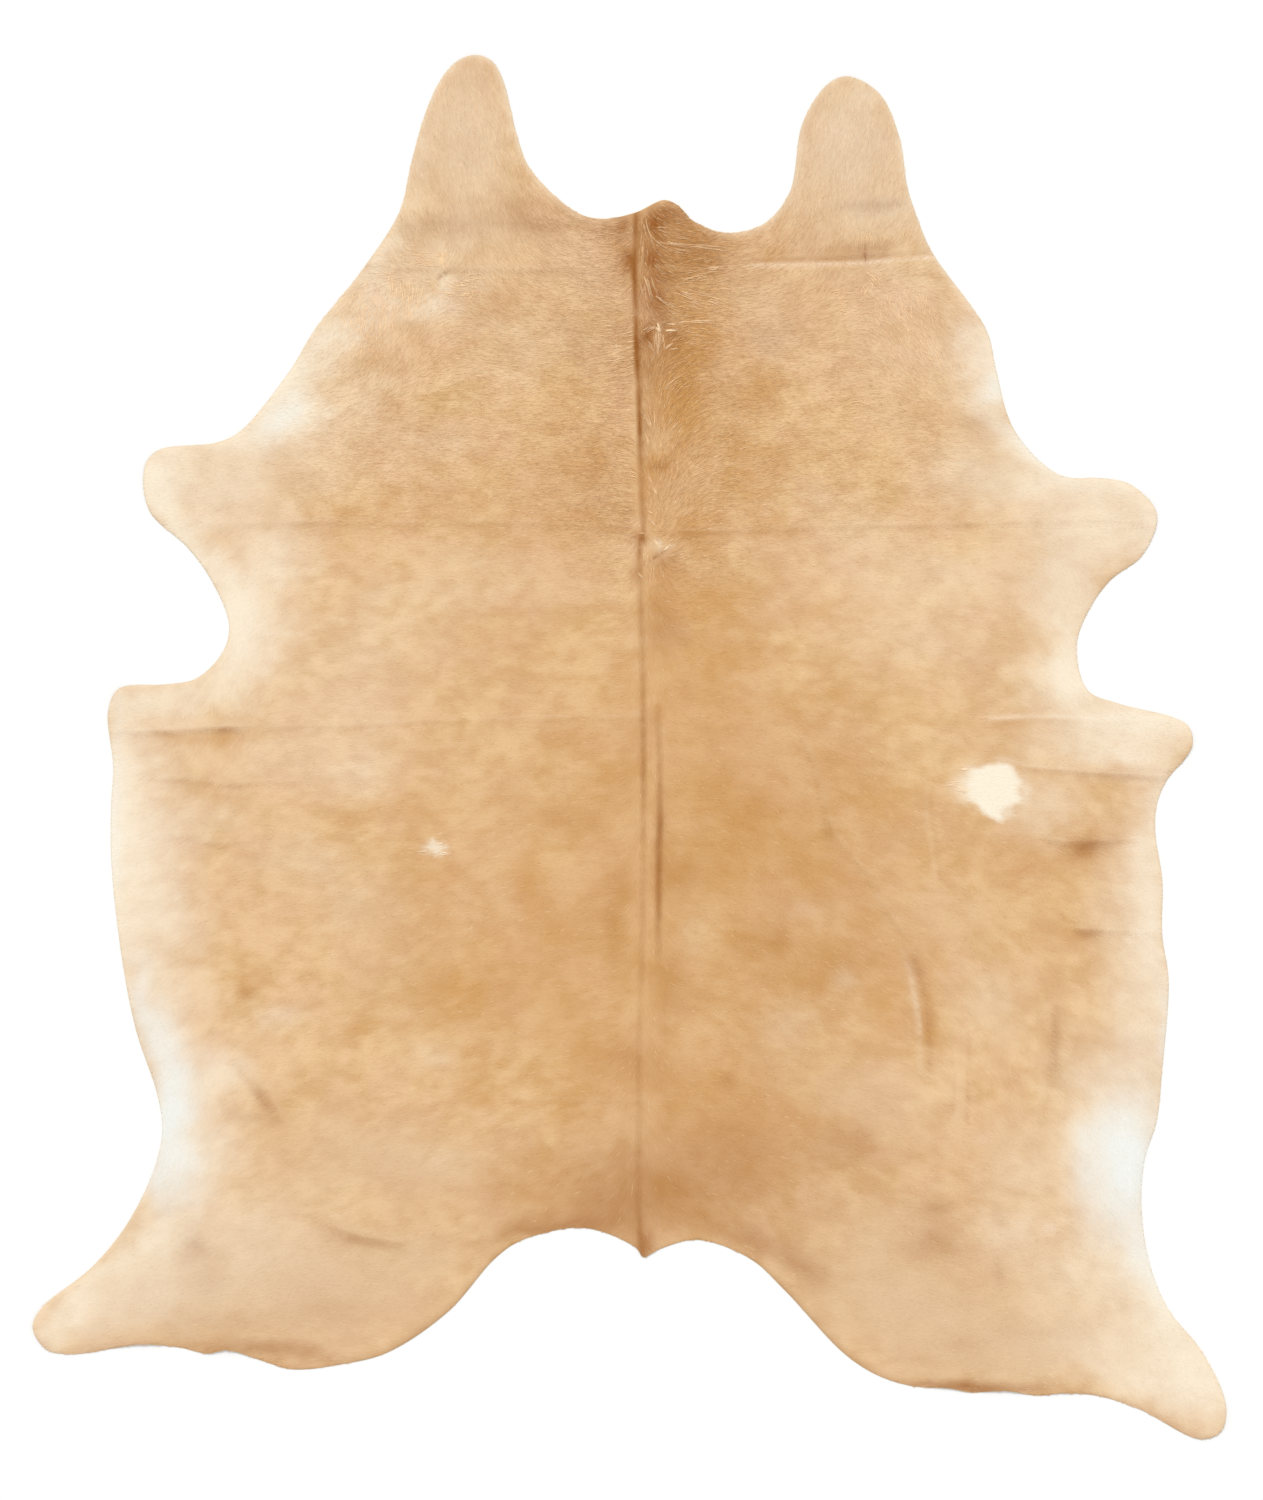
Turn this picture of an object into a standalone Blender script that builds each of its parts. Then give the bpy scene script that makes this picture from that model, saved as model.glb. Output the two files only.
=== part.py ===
"""A whole cowhide, tanned with its hair on and laid out flat with the hair side up.

The hide is one skin: about two millimetres of leather, and over it the dense foot of the short hair.
It is built as one closed sheet. Its outline is a smooth curve through landmarks, stretch by stretch.
Its top carries the folds that storage left, and the line of the spine, as low swells beside shallow
grooves. Its underside is flat on the ground, apart from a few places where the cut edge is ruffled and
lifts a little.

Frame: the origin is on the ground in the middle of the hide's length and width, +Y points to the neck,
+Z points up out of the hair, and +X follows from them. The tables are in millimetres on the real hide.
"""

from collections import namedtuple

import bmesh
import bpy
import numpy as np
from mathutils import Vector
from mathutils.geometry import delaunay_2d_cdt

MM = 0.001

# Driving dimensions, in metres
HIDE_LENGTH = 2.200  # from the tip of the longer neck lobe to the lower hind foot
SHEET_THICKNESS = 0.0030  # leather, and the dense foot of the hair
RIM_THICKNESS = 0.0020  # at the cut edge, where the hair lies thinner
RIM_WIDTH = 0.014  # over which the sheet reaches its full thickness
GROOVE_SHARE = 0.35  # how wide a fold's groove is, against the swell beside it
FADE_SHARE = 0.18  # the share of a fold's length over which each end fades out

# How finely the sheet is faceted, in metres
LONGEST_EDGE_STEP = 0.021
SHORTEST_EDGE_STEP = 0.006
MOST_TURN_PER_STEP = np.radians(11)
RIM_RING_STEP = 0.024
FOLD_STEP = 0.036
FIELD_STEP = 0.066
CLEAR_OF_EDGE = 0.011
CLEAR_OF_FOLD_POINTS = 0.009
CLEAR_OF_RIM_POINTS = 0.0145
CLEAR_OF_FIELD_POINTS = 0.030
LIP_IN_GROOVES = 1.6  # where a fold's row of lip points runs, in half widths of its groove
FOOT_IN_REACHES = 1.5  # where the rows at the swell's foot run, in half widths of the swell
OUTLINE_CURVE_STEPS = 16
FOLD_CURVE_STEPS = 8
SAME_PLACE = 1e-7

SHARP_EDGE_ANGLE = np.radians(40)

HAIR_COLOUR = (0.72, 0.43, 0.20, 1.0)  # warm tan, linear
HAIR_ROUGHNESS = 0.75

# The outline, clockwise as seen from above, in millimetres from the middle of the hide, as (x, y).
OUTLINE = {
    "poll": ((55, 871), (79, 861), (100, 839), (152, 819)),
    "neck_right_inner": ((214, 833), (255, 883), (276, 994)),
    "neck_right_tip": ((317, 1056), (348, 1067), (398, 1040)),
    "neck_right_outer": ((429, 973), (443, 889), (456, 849), (480, 791), (569, 662)),
    "shoulder_right": ((583, 603), (613, 504), (685, 433)),
    "foreleg_right": ((755, 428), (799, 417), (839, 371), (817, 306)),
    "elbow_right": ((766, 266), (731, 217), (712, 162), (729, 91)),
    "knee_right": ((780, 69), (869, 46), (891, 31), (896, 5), (883, -20), (858, -49)),
    "flank_right": (
        (840, -89), (837, -135), (848, -211), (848, -299), (858, -370), (848, -513), (839, -596),
    ),
    "groin_right": ((820, -656), (815, -736), (829, -826), (858, -895), (912, -963)),
    "foot_right": ((949, -1047), (941, -1089), (907, -1101), (813, -1054)),
    "hem_right": (
        (748, -1033), (689, -1028), (650, -1032), (597, -1024), (542, -1027), (508, -1020), (457, -1018),
    ),
    "arch_right": ((398, -1001), (343, -966), (246, -863), (192, -814), (107, -784)),
    "tail": ((44, -801), (22, -812), (12, -798)),
    "arch_left": ((-44, -771), (-90, -765), (-176, -787), (-215, -815), (-288, -898)),
    "hem_left": ((-384, -963), (-457, -982), (-538, -990), (-591, -974), (-641, -959)),
    "sole_left": ((-670, -965), (-718, -955), (-775, -950), (-834, -959), (-886, -966)),
    "foot_left": ((-928, -958), (-949, -923), (-936, -893), (-858, -830), (-804, -766)),
    "groin_left": ((-759, -679), (-743, -612), (-751, -553), (-785, -450)),
    "flank_left": ((-807, -338), (-824, -183), (-824, -84), (-821, -33), (-829, 56)),
    "knee_left": ((-812, 93), (-734, 100), (-688, 110)),
    "elbow_left": ((-646, 153), (-637, 197), (-670, 274), (-705, 320)),
    "foreleg_left": ((-764, 377), (-770, 449), (-748, 473), (-656, 485)),
    "shoulder_left": ((-619, 503), (-541, 598), (-498, 668), (-427, 757)),
    "neck_left_outer": ((-365, 854), (-347, 930), (-323, 1013)),
    "neck_left_tip": ((-295, 1070), (-268, 1095), (-241, 1101), (-218, 1091)),
    "neck_left_inner": ((-201, 1062), (-179, 975), (-158, 921), (-83, 851), (-40, 841), (15, 853)),
}

# Folds and dents, one a row, in millimetres. The route runs left to right, or neck to tail. The swell
# stands `lean` to the left of the route's groove, and `reach` is the swell's half width.
Fold = namedtuple("Fold", "name route swell groove lean reach")
SPINE_ROUTE = ((12, 900), (17, 552), (20, 298), (18, 75), (20, -338), (14, -561), (22, -870))
FOLDS = (
    Fold("spine", SPINE_ROUTE, 2.0, 1.2, 0, 34),
    Fold("spine_second_line", ((46, 30), (48, -120), (45, -345)), 0.4, 0.8, 0, 16),
    Fold("neck_upper_left", ((-390, 828), (-250, 831), (-90, 826)), 1.0, 0.4, 8, 20),
    Fold("neck_upper_right", ((290, 838), (380, 846), (490, 846)), 1.6, 0.8, 10, 22),
    Fold("neck", ((-500, 758), (-200, 762), (20, 765), (250, 768), (540, 783)), 2.6, 1.0, 9, 20),
    Fold("shoulder", ((-740, 350), (-350, 352), (0, 345), (380, 349), (740, 347)), 1.4, 0.6, 8, 18),
    Fold("back_left", ((-900, 15), (-720, 21), (-600, 28), (-250, 38), (30, 44)), 2.8, 1.4, 9, 18),
    Fold("back_right", ((550, 45), (690, 42), (860, 43)), 1.8, 0.4, 0, 16),
    Fold("knee_right", ((590, -33), (700, -40), (800, -47), (930, -54)), 3.4, 1.4, 10, 20),
    Fold("flank_left", ((-780, -57), (-655, -63), (-500, -67)), 1.4, 0.8, 9, 18),
    Fold("belly_left", ((-770, -150), (-590, -153)), 1.2, 0.5, 8, 18),
    Fold("belly_right", ((650, -165), (820, -166)), 1.6, 1.0, 10, 22),
    Fold("belly_right_low", ((680, -294), (760, -296), (890, -297)), 1.8, 1.0, 9, 20),
    Fold("haunch_right_dent", ((430, -290), (452, -390), (472, -470), (477, -530)), 2.2, 1.2, -12, 26),
    Fold("haunch_right_mid", ((541, -445), (533, -530), (527, -615)), 1.4, 0.8, -8, 22),
    Fold("haunch_right_outer", ((681, -395), (677, -490), (668, -580)), 1.8, 1.0, -9, 24),
    Fold("haunch_left_dent", ((-640, -485), (-592, -565), (-545, -608)), 1.8, 0.8, 9, 24),
    Fold("thigh_left", ((-540, -732), (-440, -762), (-340, -787)), 1.8, 0.8, 9, 22),
    Fold("rump", ((-190, -558), (-60, -565), (40, -560)), 1.0, 0.3, 6, 18),
)

# Ruffled or curled places of the cut edge, one a row, in millimetres: how high each lifts, and how far
# that reaches.
Lift = namedtuple("Lift", "name x y rise reach")
LIFTS = (
    Lift("sole_left_ruffle", -775, -950, 4.5, 62),
    Lift("heel_left_ruffle", -641, -959, 4.5, 60),
    Lift("hem_right_ruffle", 597, -1024, 4.5, 52),
    Lift("hem_right_small_ruffle", 508, -1020, 3.5, 42),
    Lift("hem_right_outer_ruffle", 689, -1028, 2.5, 46),
    Lift("foot_left_tip", -949, -923, 3.5, 72),
    Lift("foot_right_tip", 945, -1075, 3.5, 72),
    Lift("foreleg_left_tip", -770, 430, 3.0, 74),
    Lift("foreleg_right_tip", 839, 371, 3.0, 74),
    Lift("knee_left_corner", -829, 80, 3.5, 66),
    Lift("knee_right_corner", 896, 5, 3.5, 60),
    Lift("neck_left_tip", -250, 1101, 2.5, 84),
    Lift("neck_right_tip", 348, 1067, 2.5, 84),
    Lift("tail_point", 22, -812, 2.0, 44),
)


def smooth_curve(marks, closed, steps):
    """A centripetal Catmull-Rom curve through the marks, as many close points."""
    if closed:
        before, after, last = np.roll(marks, 1, 0), np.roll(marks, -1, 0), np.roll(marks, -2, 0)
        here = marks
    else:
        padded = np.vstack((2 * marks[0] - marks[1], marks, 2 * marks[-1] - marks[-2]))
        before, here, after, last = padded[:-3], padded[1:-2], padded[2:-1], padded[3:]
    knot_1 = np.sqrt(np.linalg.norm(here - before, axis=1))[:, None]
    knot_2 = knot_1 + np.sqrt(np.linalg.norm(after - here, axis=1))[:, None]
    knot_3 = knot_2 + np.sqrt(np.linalg.norm(last - after, axis=1))[:, None]
    columns = []
    for step in range(steps):
        at = knot_1 + (knot_2 - knot_1) * step / steps
        first = ((knot_1 - at) * before + at * here) / knot_1
        second = ((knot_2 - at) * here + (at - knot_1) * after) / (knot_2 - knot_1)
        third = ((knot_3 - at) * after + (at - knot_2) * last) / (knot_3 - knot_2)
        lower = ((knot_2 - at) * first + at * second) / knot_2
        upper = ((knot_3 - at) * second + (at - knot_1) * third) / (knot_3 - knot_1)
        columns.append(((knot_2 - at) * lower + (at - knot_1) * upper) / (knot_2 - knot_1))
    points = np.stack(columns, axis=1).reshape(-1, 2)
    return points if closed else np.vstack((points, marks[-1]))


def spaced_outline(curve):
    """The closed curve with fewer points: long steps where it runs straight, short ones round its bends."""
    ahead = np.roll(curve, -1, 0) - curve
    length = np.linalg.norm(ahead, axis=1)
    heading = np.arctan2(ahead[:, 1], ahead[:, 0])
    turn = np.abs((heading - np.roll(heading, 1) + np.pi) % (2 * np.pi) - np.pi)
    kept, run, bend = [0], 0.0, 0.0
    for index in range(1, len(curve)):
        run += length[index - 1]
        bend += turn[index]
        far_enough = run >= LONGEST_EDGE_STEP or (bend >= MOST_TURN_PER_STEP and run >= SHORTEST_EDGE_STEP)
        if far_enough:
            kept.append(index)
            run, bend = 0.0, 0.0
    if run < SHORTEST_EDGE_STEP:
        kept.pop()
    return curve[kept]


def hide_outline():
    """The outline's points in metres, anticlockwise, centred on the hide's length and width."""
    rows = [row for stretch in OUTLINE.values() for row in stretch]
    curve = smooth_curve(np.array(rows, float)[::-1] * MM, closed=True, steps=OUTLINE_CURVE_STEPS)
    low, high = curve.min(0), curve.max(0)
    curve = (curve - (low + high) / 2) * HIDE_LENGTH / (high - low)[1]
    points = spaced_outline(curve)
    return points - (points.min(0) + points.max(0)) / 2


def across_route(points, route):
    """How far along the route each point lies, from 0 to 1, and how far to its left, in metres."""
    starts, steps = route[:-1], np.diff(route, axis=0)
    lengths = np.linalg.norm(steps, axis=1)
    travelled = np.concatenate(([0.0], np.cumsum(lengths)))
    offsets = points[:, None] - starts[None]
    share = np.clip((offsets * steps).sum(2) / lengths**2, 0, 1)
    gaps = offsets - share[:, :, None] * steps
    distance = np.linalg.norm(gaps, axis=2)
    nearest = distance.argmin(1)
    row = np.arange(len(points))
    side = np.sign(steps[nearest, 0] * gaps[row, nearest, 1] - steps[nearest, 1] * gaps[row, nearest, 0])
    along = (travelled[nearest] + share[row, nearest] * lengths[nearest]) / travelled[-1]
    return along, side * distance[row, nearest]


def soft_step(value):
    value = np.clip(value, 0, 1)
    return value * value * (3 - 2 * value)


def bell(distance, reach):
    return np.exp(-((distance / reach) ** 2))


def fold_curve(fold):
    return smooth_curve(np.array(fold.route, float) * MM, closed=False, steps=FOLD_CURVE_STEPS)


def fold_relief(points):
    """The height that all folds add to the sheet's top, in metres."""
    relief = np.zeros(len(points))
    for fold in FOLDS:
        along, across = across_route(points, fold_curve(fold))
        strength = soft_step(np.minimum(along, 1 - along) / FADE_SHARE)
        reach = fold.reach * MM
        swell = fold.swell * bell(across - fold.lean * MM, reach)
        groove = fold.groove * bell(across, reach * GROOVE_SHARE)
        relief += strength * (swell - groove) * MM
    return relief


def edge_lift(points):
    """How far the sheet is lifted off the ground, in metres."""
    lift = np.zeros(len(points))
    for row in LIFTS:
        distance = np.linalg.norm(points - np.array((row.x, row.y)) * MM, axis=1)
        lift = np.maximum(lift, row.rise * MM * soft_step(1 - distance / (row.reach * MM)))
    return lift


def distance_to_outline(points, outline):
    steps = np.roll(outline, -1, 0) - outline
    offsets = points[:, None] - outline[None]
    share = np.clip((offsets * steps).sum(2) / (steps**2).sum(1), 0, 1)
    return np.linalg.norm(offsets - share[:, :, None] * steps, axis=2).min(1)


def is_inside(points, outline):
    """Whether each point lies inside the outline, by counting the edges that a line to its right crosses."""
    after = np.roll(outline, -1, 0)
    x, y = points[:, :1], points[:, 1:]
    spans = (outline[:, 1] > y) != (after[:, 1] > y)
    rise = np.where(after[:, 1] == outline[:, 1], 1.0, after[:, 1] - outline[:, 1])
    crossing = outline[:, 0] + (y - outline[:, 1]) / rise * (after[:, 0] - outline[:, 0])
    return (spans & (x < crossing)).sum(1) % 2 == 1


def evenly_along(curve, step):
    """Points at even steps along a curve, and the unit normals to its left."""
    travelled = np.concatenate(([0.0], np.cumsum(np.linalg.norm(np.diff(curve, axis=0), axis=1))))
    count = max(2, int(round(travelled[-1] / step)) + 1)
    stops = np.linspace(0, travelled[-1], count)
    points = np.stack([np.interp(stops, travelled, curve[:, axis]) for axis in (0, 1)], axis=1)
    ahead = np.gradient(points, axis=0)
    ahead /= np.linalg.norm(ahead, axis=1)[:, None]
    return points, np.stack((-ahead[:, 1], ahead[:, 0]), axis=1)


def fold_points():
    """Rows of points along each fold: its groove, the groove's two lips, and the swell's crest and foot."""
    found = []
    for fold in FOLDS:
        points, left = evenly_along(fold_curve(fold), FOLD_STEP)
        lip = fold.reach * GROOVE_SHARE * LIP_IN_GROOVES
        foot = fold.reach * FOOT_IN_REACHES
        for offset in (0, lip, -lip, fold.lean + foot, fold.lean - foot):
            found.append(points + left * offset * MM)
    return np.vstack(found)


def rim_points(outline):
    """A ring of points where the sheet reaches its full thickness, inside the cut edge."""
    ahead = np.roll(outline, -1, 0) - np.roll(outline, 1, 0)
    ahead /= np.linalg.norm(ahead, axis=1)[:, None]
    inward = np.stack((-ahead[:, 1], ahead[:, 0]), axis=1)
    ring = outline + inward * RIM_WIDTH
    kept = [0]
    for index in range(1, len(ring)):
        if np.linalg.norm(ring[index] - ring[kept[-1]]) >= RIM_RING_STEP:
            kept.append(index)
    return ring[kept]


def field_points(outline):
    """An even field of points in staggered rows, over the whole hide."""
    low, high = outline.min(0), outline.max(0)
    row_step = FIELD_STEP * np.sqrt(3) / 2
    rows = []
    for index, y in enumerate(np.arange(low[1], high[1], row_step)):
        x = np.arange(low[0] + (index % 2) * FIELD_STEP / 2, high[0], FIELD_STEP)
        rows.append(np.stack((x, np.full(len(x), y)), axis=1))
    return np.vstack(rows)


def inner_points(outline):
    """The points inside the outline, those of the folds first, none too near the edge or another point."""
    groups = (
        (fold_points(), CLEAR_OF_FOLD_POINTS),
        (rim_points(outline), CLEAR_OF_RIM_POINTS),
        (field_points(outline), CLEAR_OF_FIELD_POINTS),
    )
    kept = np.empty((0, 2))
    for points, clear in groups:
        points = points[is_inside(points, outline)]
        points = points[distance_to_outline(points, outline) >= CLEAR_OF_EDGE]
        for point in points:
            if len(kept) == 0 or np.linalg.norm(kept - point, axis=1).min() >= clear:
                kept = np.vstack((kept, point))
    return kept


def triangulated(outline, inner):
    """Points and triangles of the flat sheet, anticlockwise. The outline's points come first."""
    points = [Vector(point) for point in np.vstack((outline, inner))]
    count = len(outline)
    border = [(index, (index + 1) % count) for index in range(count)]
    inside_only = 1
    placed, _, faces, *_ = delaunay_2d_cdt(points, border, [], inside_only, SAME_PLACE)
    return np.array([(point.x, point.y) for point in placed]), faces


def hide_mesh():
    """The closed sheet: a flat skin raised to the underside's height, and its copy above it."""
    outline = hide_outline()
    flat, faces = triangulated(outline, inner_points(outline))
    lift = edge_lift(flat)
    fullness = soft_step(distance_to_outline(flat, outline) / RIM_WIDTH)
    thickness = RIM_THICKNESS + (SHEET_THICKNESS - RIM_THICKNESS) * fullness
    top = lift + thickness + fullness * fold_relief(flat)

    skin = bmesh.new()
    under = [skin.verts.new((x, y, z)) for (x, y), z in zip(flat, lift)]
    for face in faces:
        skin.faces.new([under[index] for index in face])
    raised = bmesh.ops.extrude_face_region(skin, geom=skin.faces[:], use_keep_orig=True)
    place = {(vert.co.x, vert.co.y): height for vert, height in zip(under, top)}
    for vert in raised["geom"]:
        if isinstance(vert, bmesh.types.BMVert):
            vert.co.z = place[(vert.co.x, vert.co.y)]
    bmesh.ops.recalc_face_normals(skin, faces=skin.faces[:])

    mesh = bpy.data.meshes.new("cowhide")
    skin.to_mesh(mesh)
    skin.free()
    return mesh


def hair_on_leather():
    material = bpy.data.materials.new("hair_on_leather")
    material.use_nodes = True
    shader = material.node_tree.nodes["Principled BSDF"]
    shader.inputs["Base Color"].default_value = HAIR_COLOUR
    shader.inputs["Roughness"].default_value = HAIR_ROUGHNESS
    shader.inputs["Metallic"].default_value = 0.0
    material.diffuse_color = HAIR_COLOUR
    return material


def build():
    for old in list(bpy.data.objects):
        bpy.data.objects.remove(old)
    mesh = hide_mesh()
    mesh.materials.append(hair_on_leather())
    mesh.shade_smooth()
    mesh.set_sharp_from_angle(angle=SHARP_EDGE_ANGLE)
    hide = bpy.data.objects.new("cowhide", mesh)
    bpy.context.scene.collection.objects.link(hide)
    print("cowhide:", len(mesh.polygons), "faces,", "size", [round(side, 4) for side in hide.dimensions])


build()
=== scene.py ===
"""The looks of a whole cowhide, tanned with its hair on and laid out flat with the hair side up.

One closed sheet of leather carries the folds, the cut rim and the flesh side. The hair lies on it in five
layers of locks, each lock a small closed wedge that follows the lie of the coat; the top layer's pale flecks
are partly bleached hair and partly painted glints of light. Short locks are combed along the deeper creases,
where the coat parts, and long pale hairs curl in wisps by the crest of the neck, its two whorls and the
white spots. The coat's colours are dyes, laid on in soft patches, along the creases, at the cut edge and in
the two white spots. Along the creases the brown line is partly darker parted hair and partly painted shade,
and the pale lip beside it is a painted highlight; the brown at edges that face the tail is painted shade.

Frame: metres, with the origin on the ground in the middle of the hide, +Y to the neck and +Z up out of the
hair. The tables, and values where nothing says metres, are in millimetres on the real hide. Headings are in
degrees, anticlockwise from +X.
"""

from collections import namedtuple

import bmesh
import bpy
import numpy as np
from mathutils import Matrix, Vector, kdtree
from mathutils.geometry import delaunay_2d_cdt


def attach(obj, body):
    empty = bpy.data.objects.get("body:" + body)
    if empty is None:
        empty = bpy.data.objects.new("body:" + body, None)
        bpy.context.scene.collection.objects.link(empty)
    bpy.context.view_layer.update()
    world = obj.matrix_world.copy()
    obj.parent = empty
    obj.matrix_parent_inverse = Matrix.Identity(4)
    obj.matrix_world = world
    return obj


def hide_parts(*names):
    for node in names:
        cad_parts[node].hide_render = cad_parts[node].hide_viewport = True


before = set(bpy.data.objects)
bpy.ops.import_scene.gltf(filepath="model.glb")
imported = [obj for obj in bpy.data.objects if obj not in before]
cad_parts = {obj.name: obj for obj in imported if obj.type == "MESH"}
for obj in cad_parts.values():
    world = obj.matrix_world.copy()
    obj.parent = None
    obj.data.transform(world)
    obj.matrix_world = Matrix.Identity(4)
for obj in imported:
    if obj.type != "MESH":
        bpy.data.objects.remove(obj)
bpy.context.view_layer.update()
SHEET_NODE = "cowhide"

MM = 0.001
SAME_PLACE = 1e-6
CURVE_STEPS = 8  # how many points a smooth curve has for each of its marks

# The sheet, in metres
SHEET_THICKNESS = 0.0026  # leather and the foot of the hair, under the locks
RIM_THICKNESS = 0.0018
RIM_WIDTH = 0.013  # over which the sheet grows from the rim's thickness to its full one
RIM_ROUNDING = 0.0005  # how far the cut rim's upper and lower corners are worn back
UPRIGHT = 0.5  # a wall's normal has less than this along Z

# The sheet's mesh, in metres
EDGE_STEP = 0.0045
FINE_EDGE_STEP = EDGE_STEP / 3  # of the points that depths are measured from
RIM_ROW_INSET = 0.0052  # of a row of points that follows the cut edge
RIM_ROW_GAP = 0.003  # that this row keeps from the creases' points
TOP_STEP = 0.0071
TOP_GAP_SHARE = 0.62  # of a top step, that the field of points keeps from the rows
FIELD_INSET = 0.004  # of that field from the edge, beyond the creases' points
UNDER_STEP = 0.021
UNDER_EDGE_INSET = 0.009
UNDER_EDGE_EACH = 3  # one point of the underside's inner row for so many of the edge
CREASE_STEP = 0.0065
CREASE_ROWS = (0, 3, -3, 7.5, -7.5)  # rows of points along each crease, in millimetres to its left
CREASE_POINT_GAP = 0.0026  # that one crease's points keep from another's
CLEAR_OF_EDGE = 0.0035  # of the creases' points from the edge
STAGGER_SCATTER = 0.45  # of a step, that the points of a scattered grid move each way
DEPTH_STEP = 0.005  # of the grid that keeps how deep inside the cut edge a place lies
DEPTH_MARGIN = 0.04
LAST_CELL = 1.001  # the last place read lies so many cells before the grid's end, just over one

# Clouds are smooth random values on a square grid, which is turned by their seed
CLOUD_TURN = 0.7  # radians for each seed
CLOUD_SPAN = 1.7  # farther from the middle than any point of the hide, in metres
CLOUD_SPARE = 4  # cells of the grid left over beyond that
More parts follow.
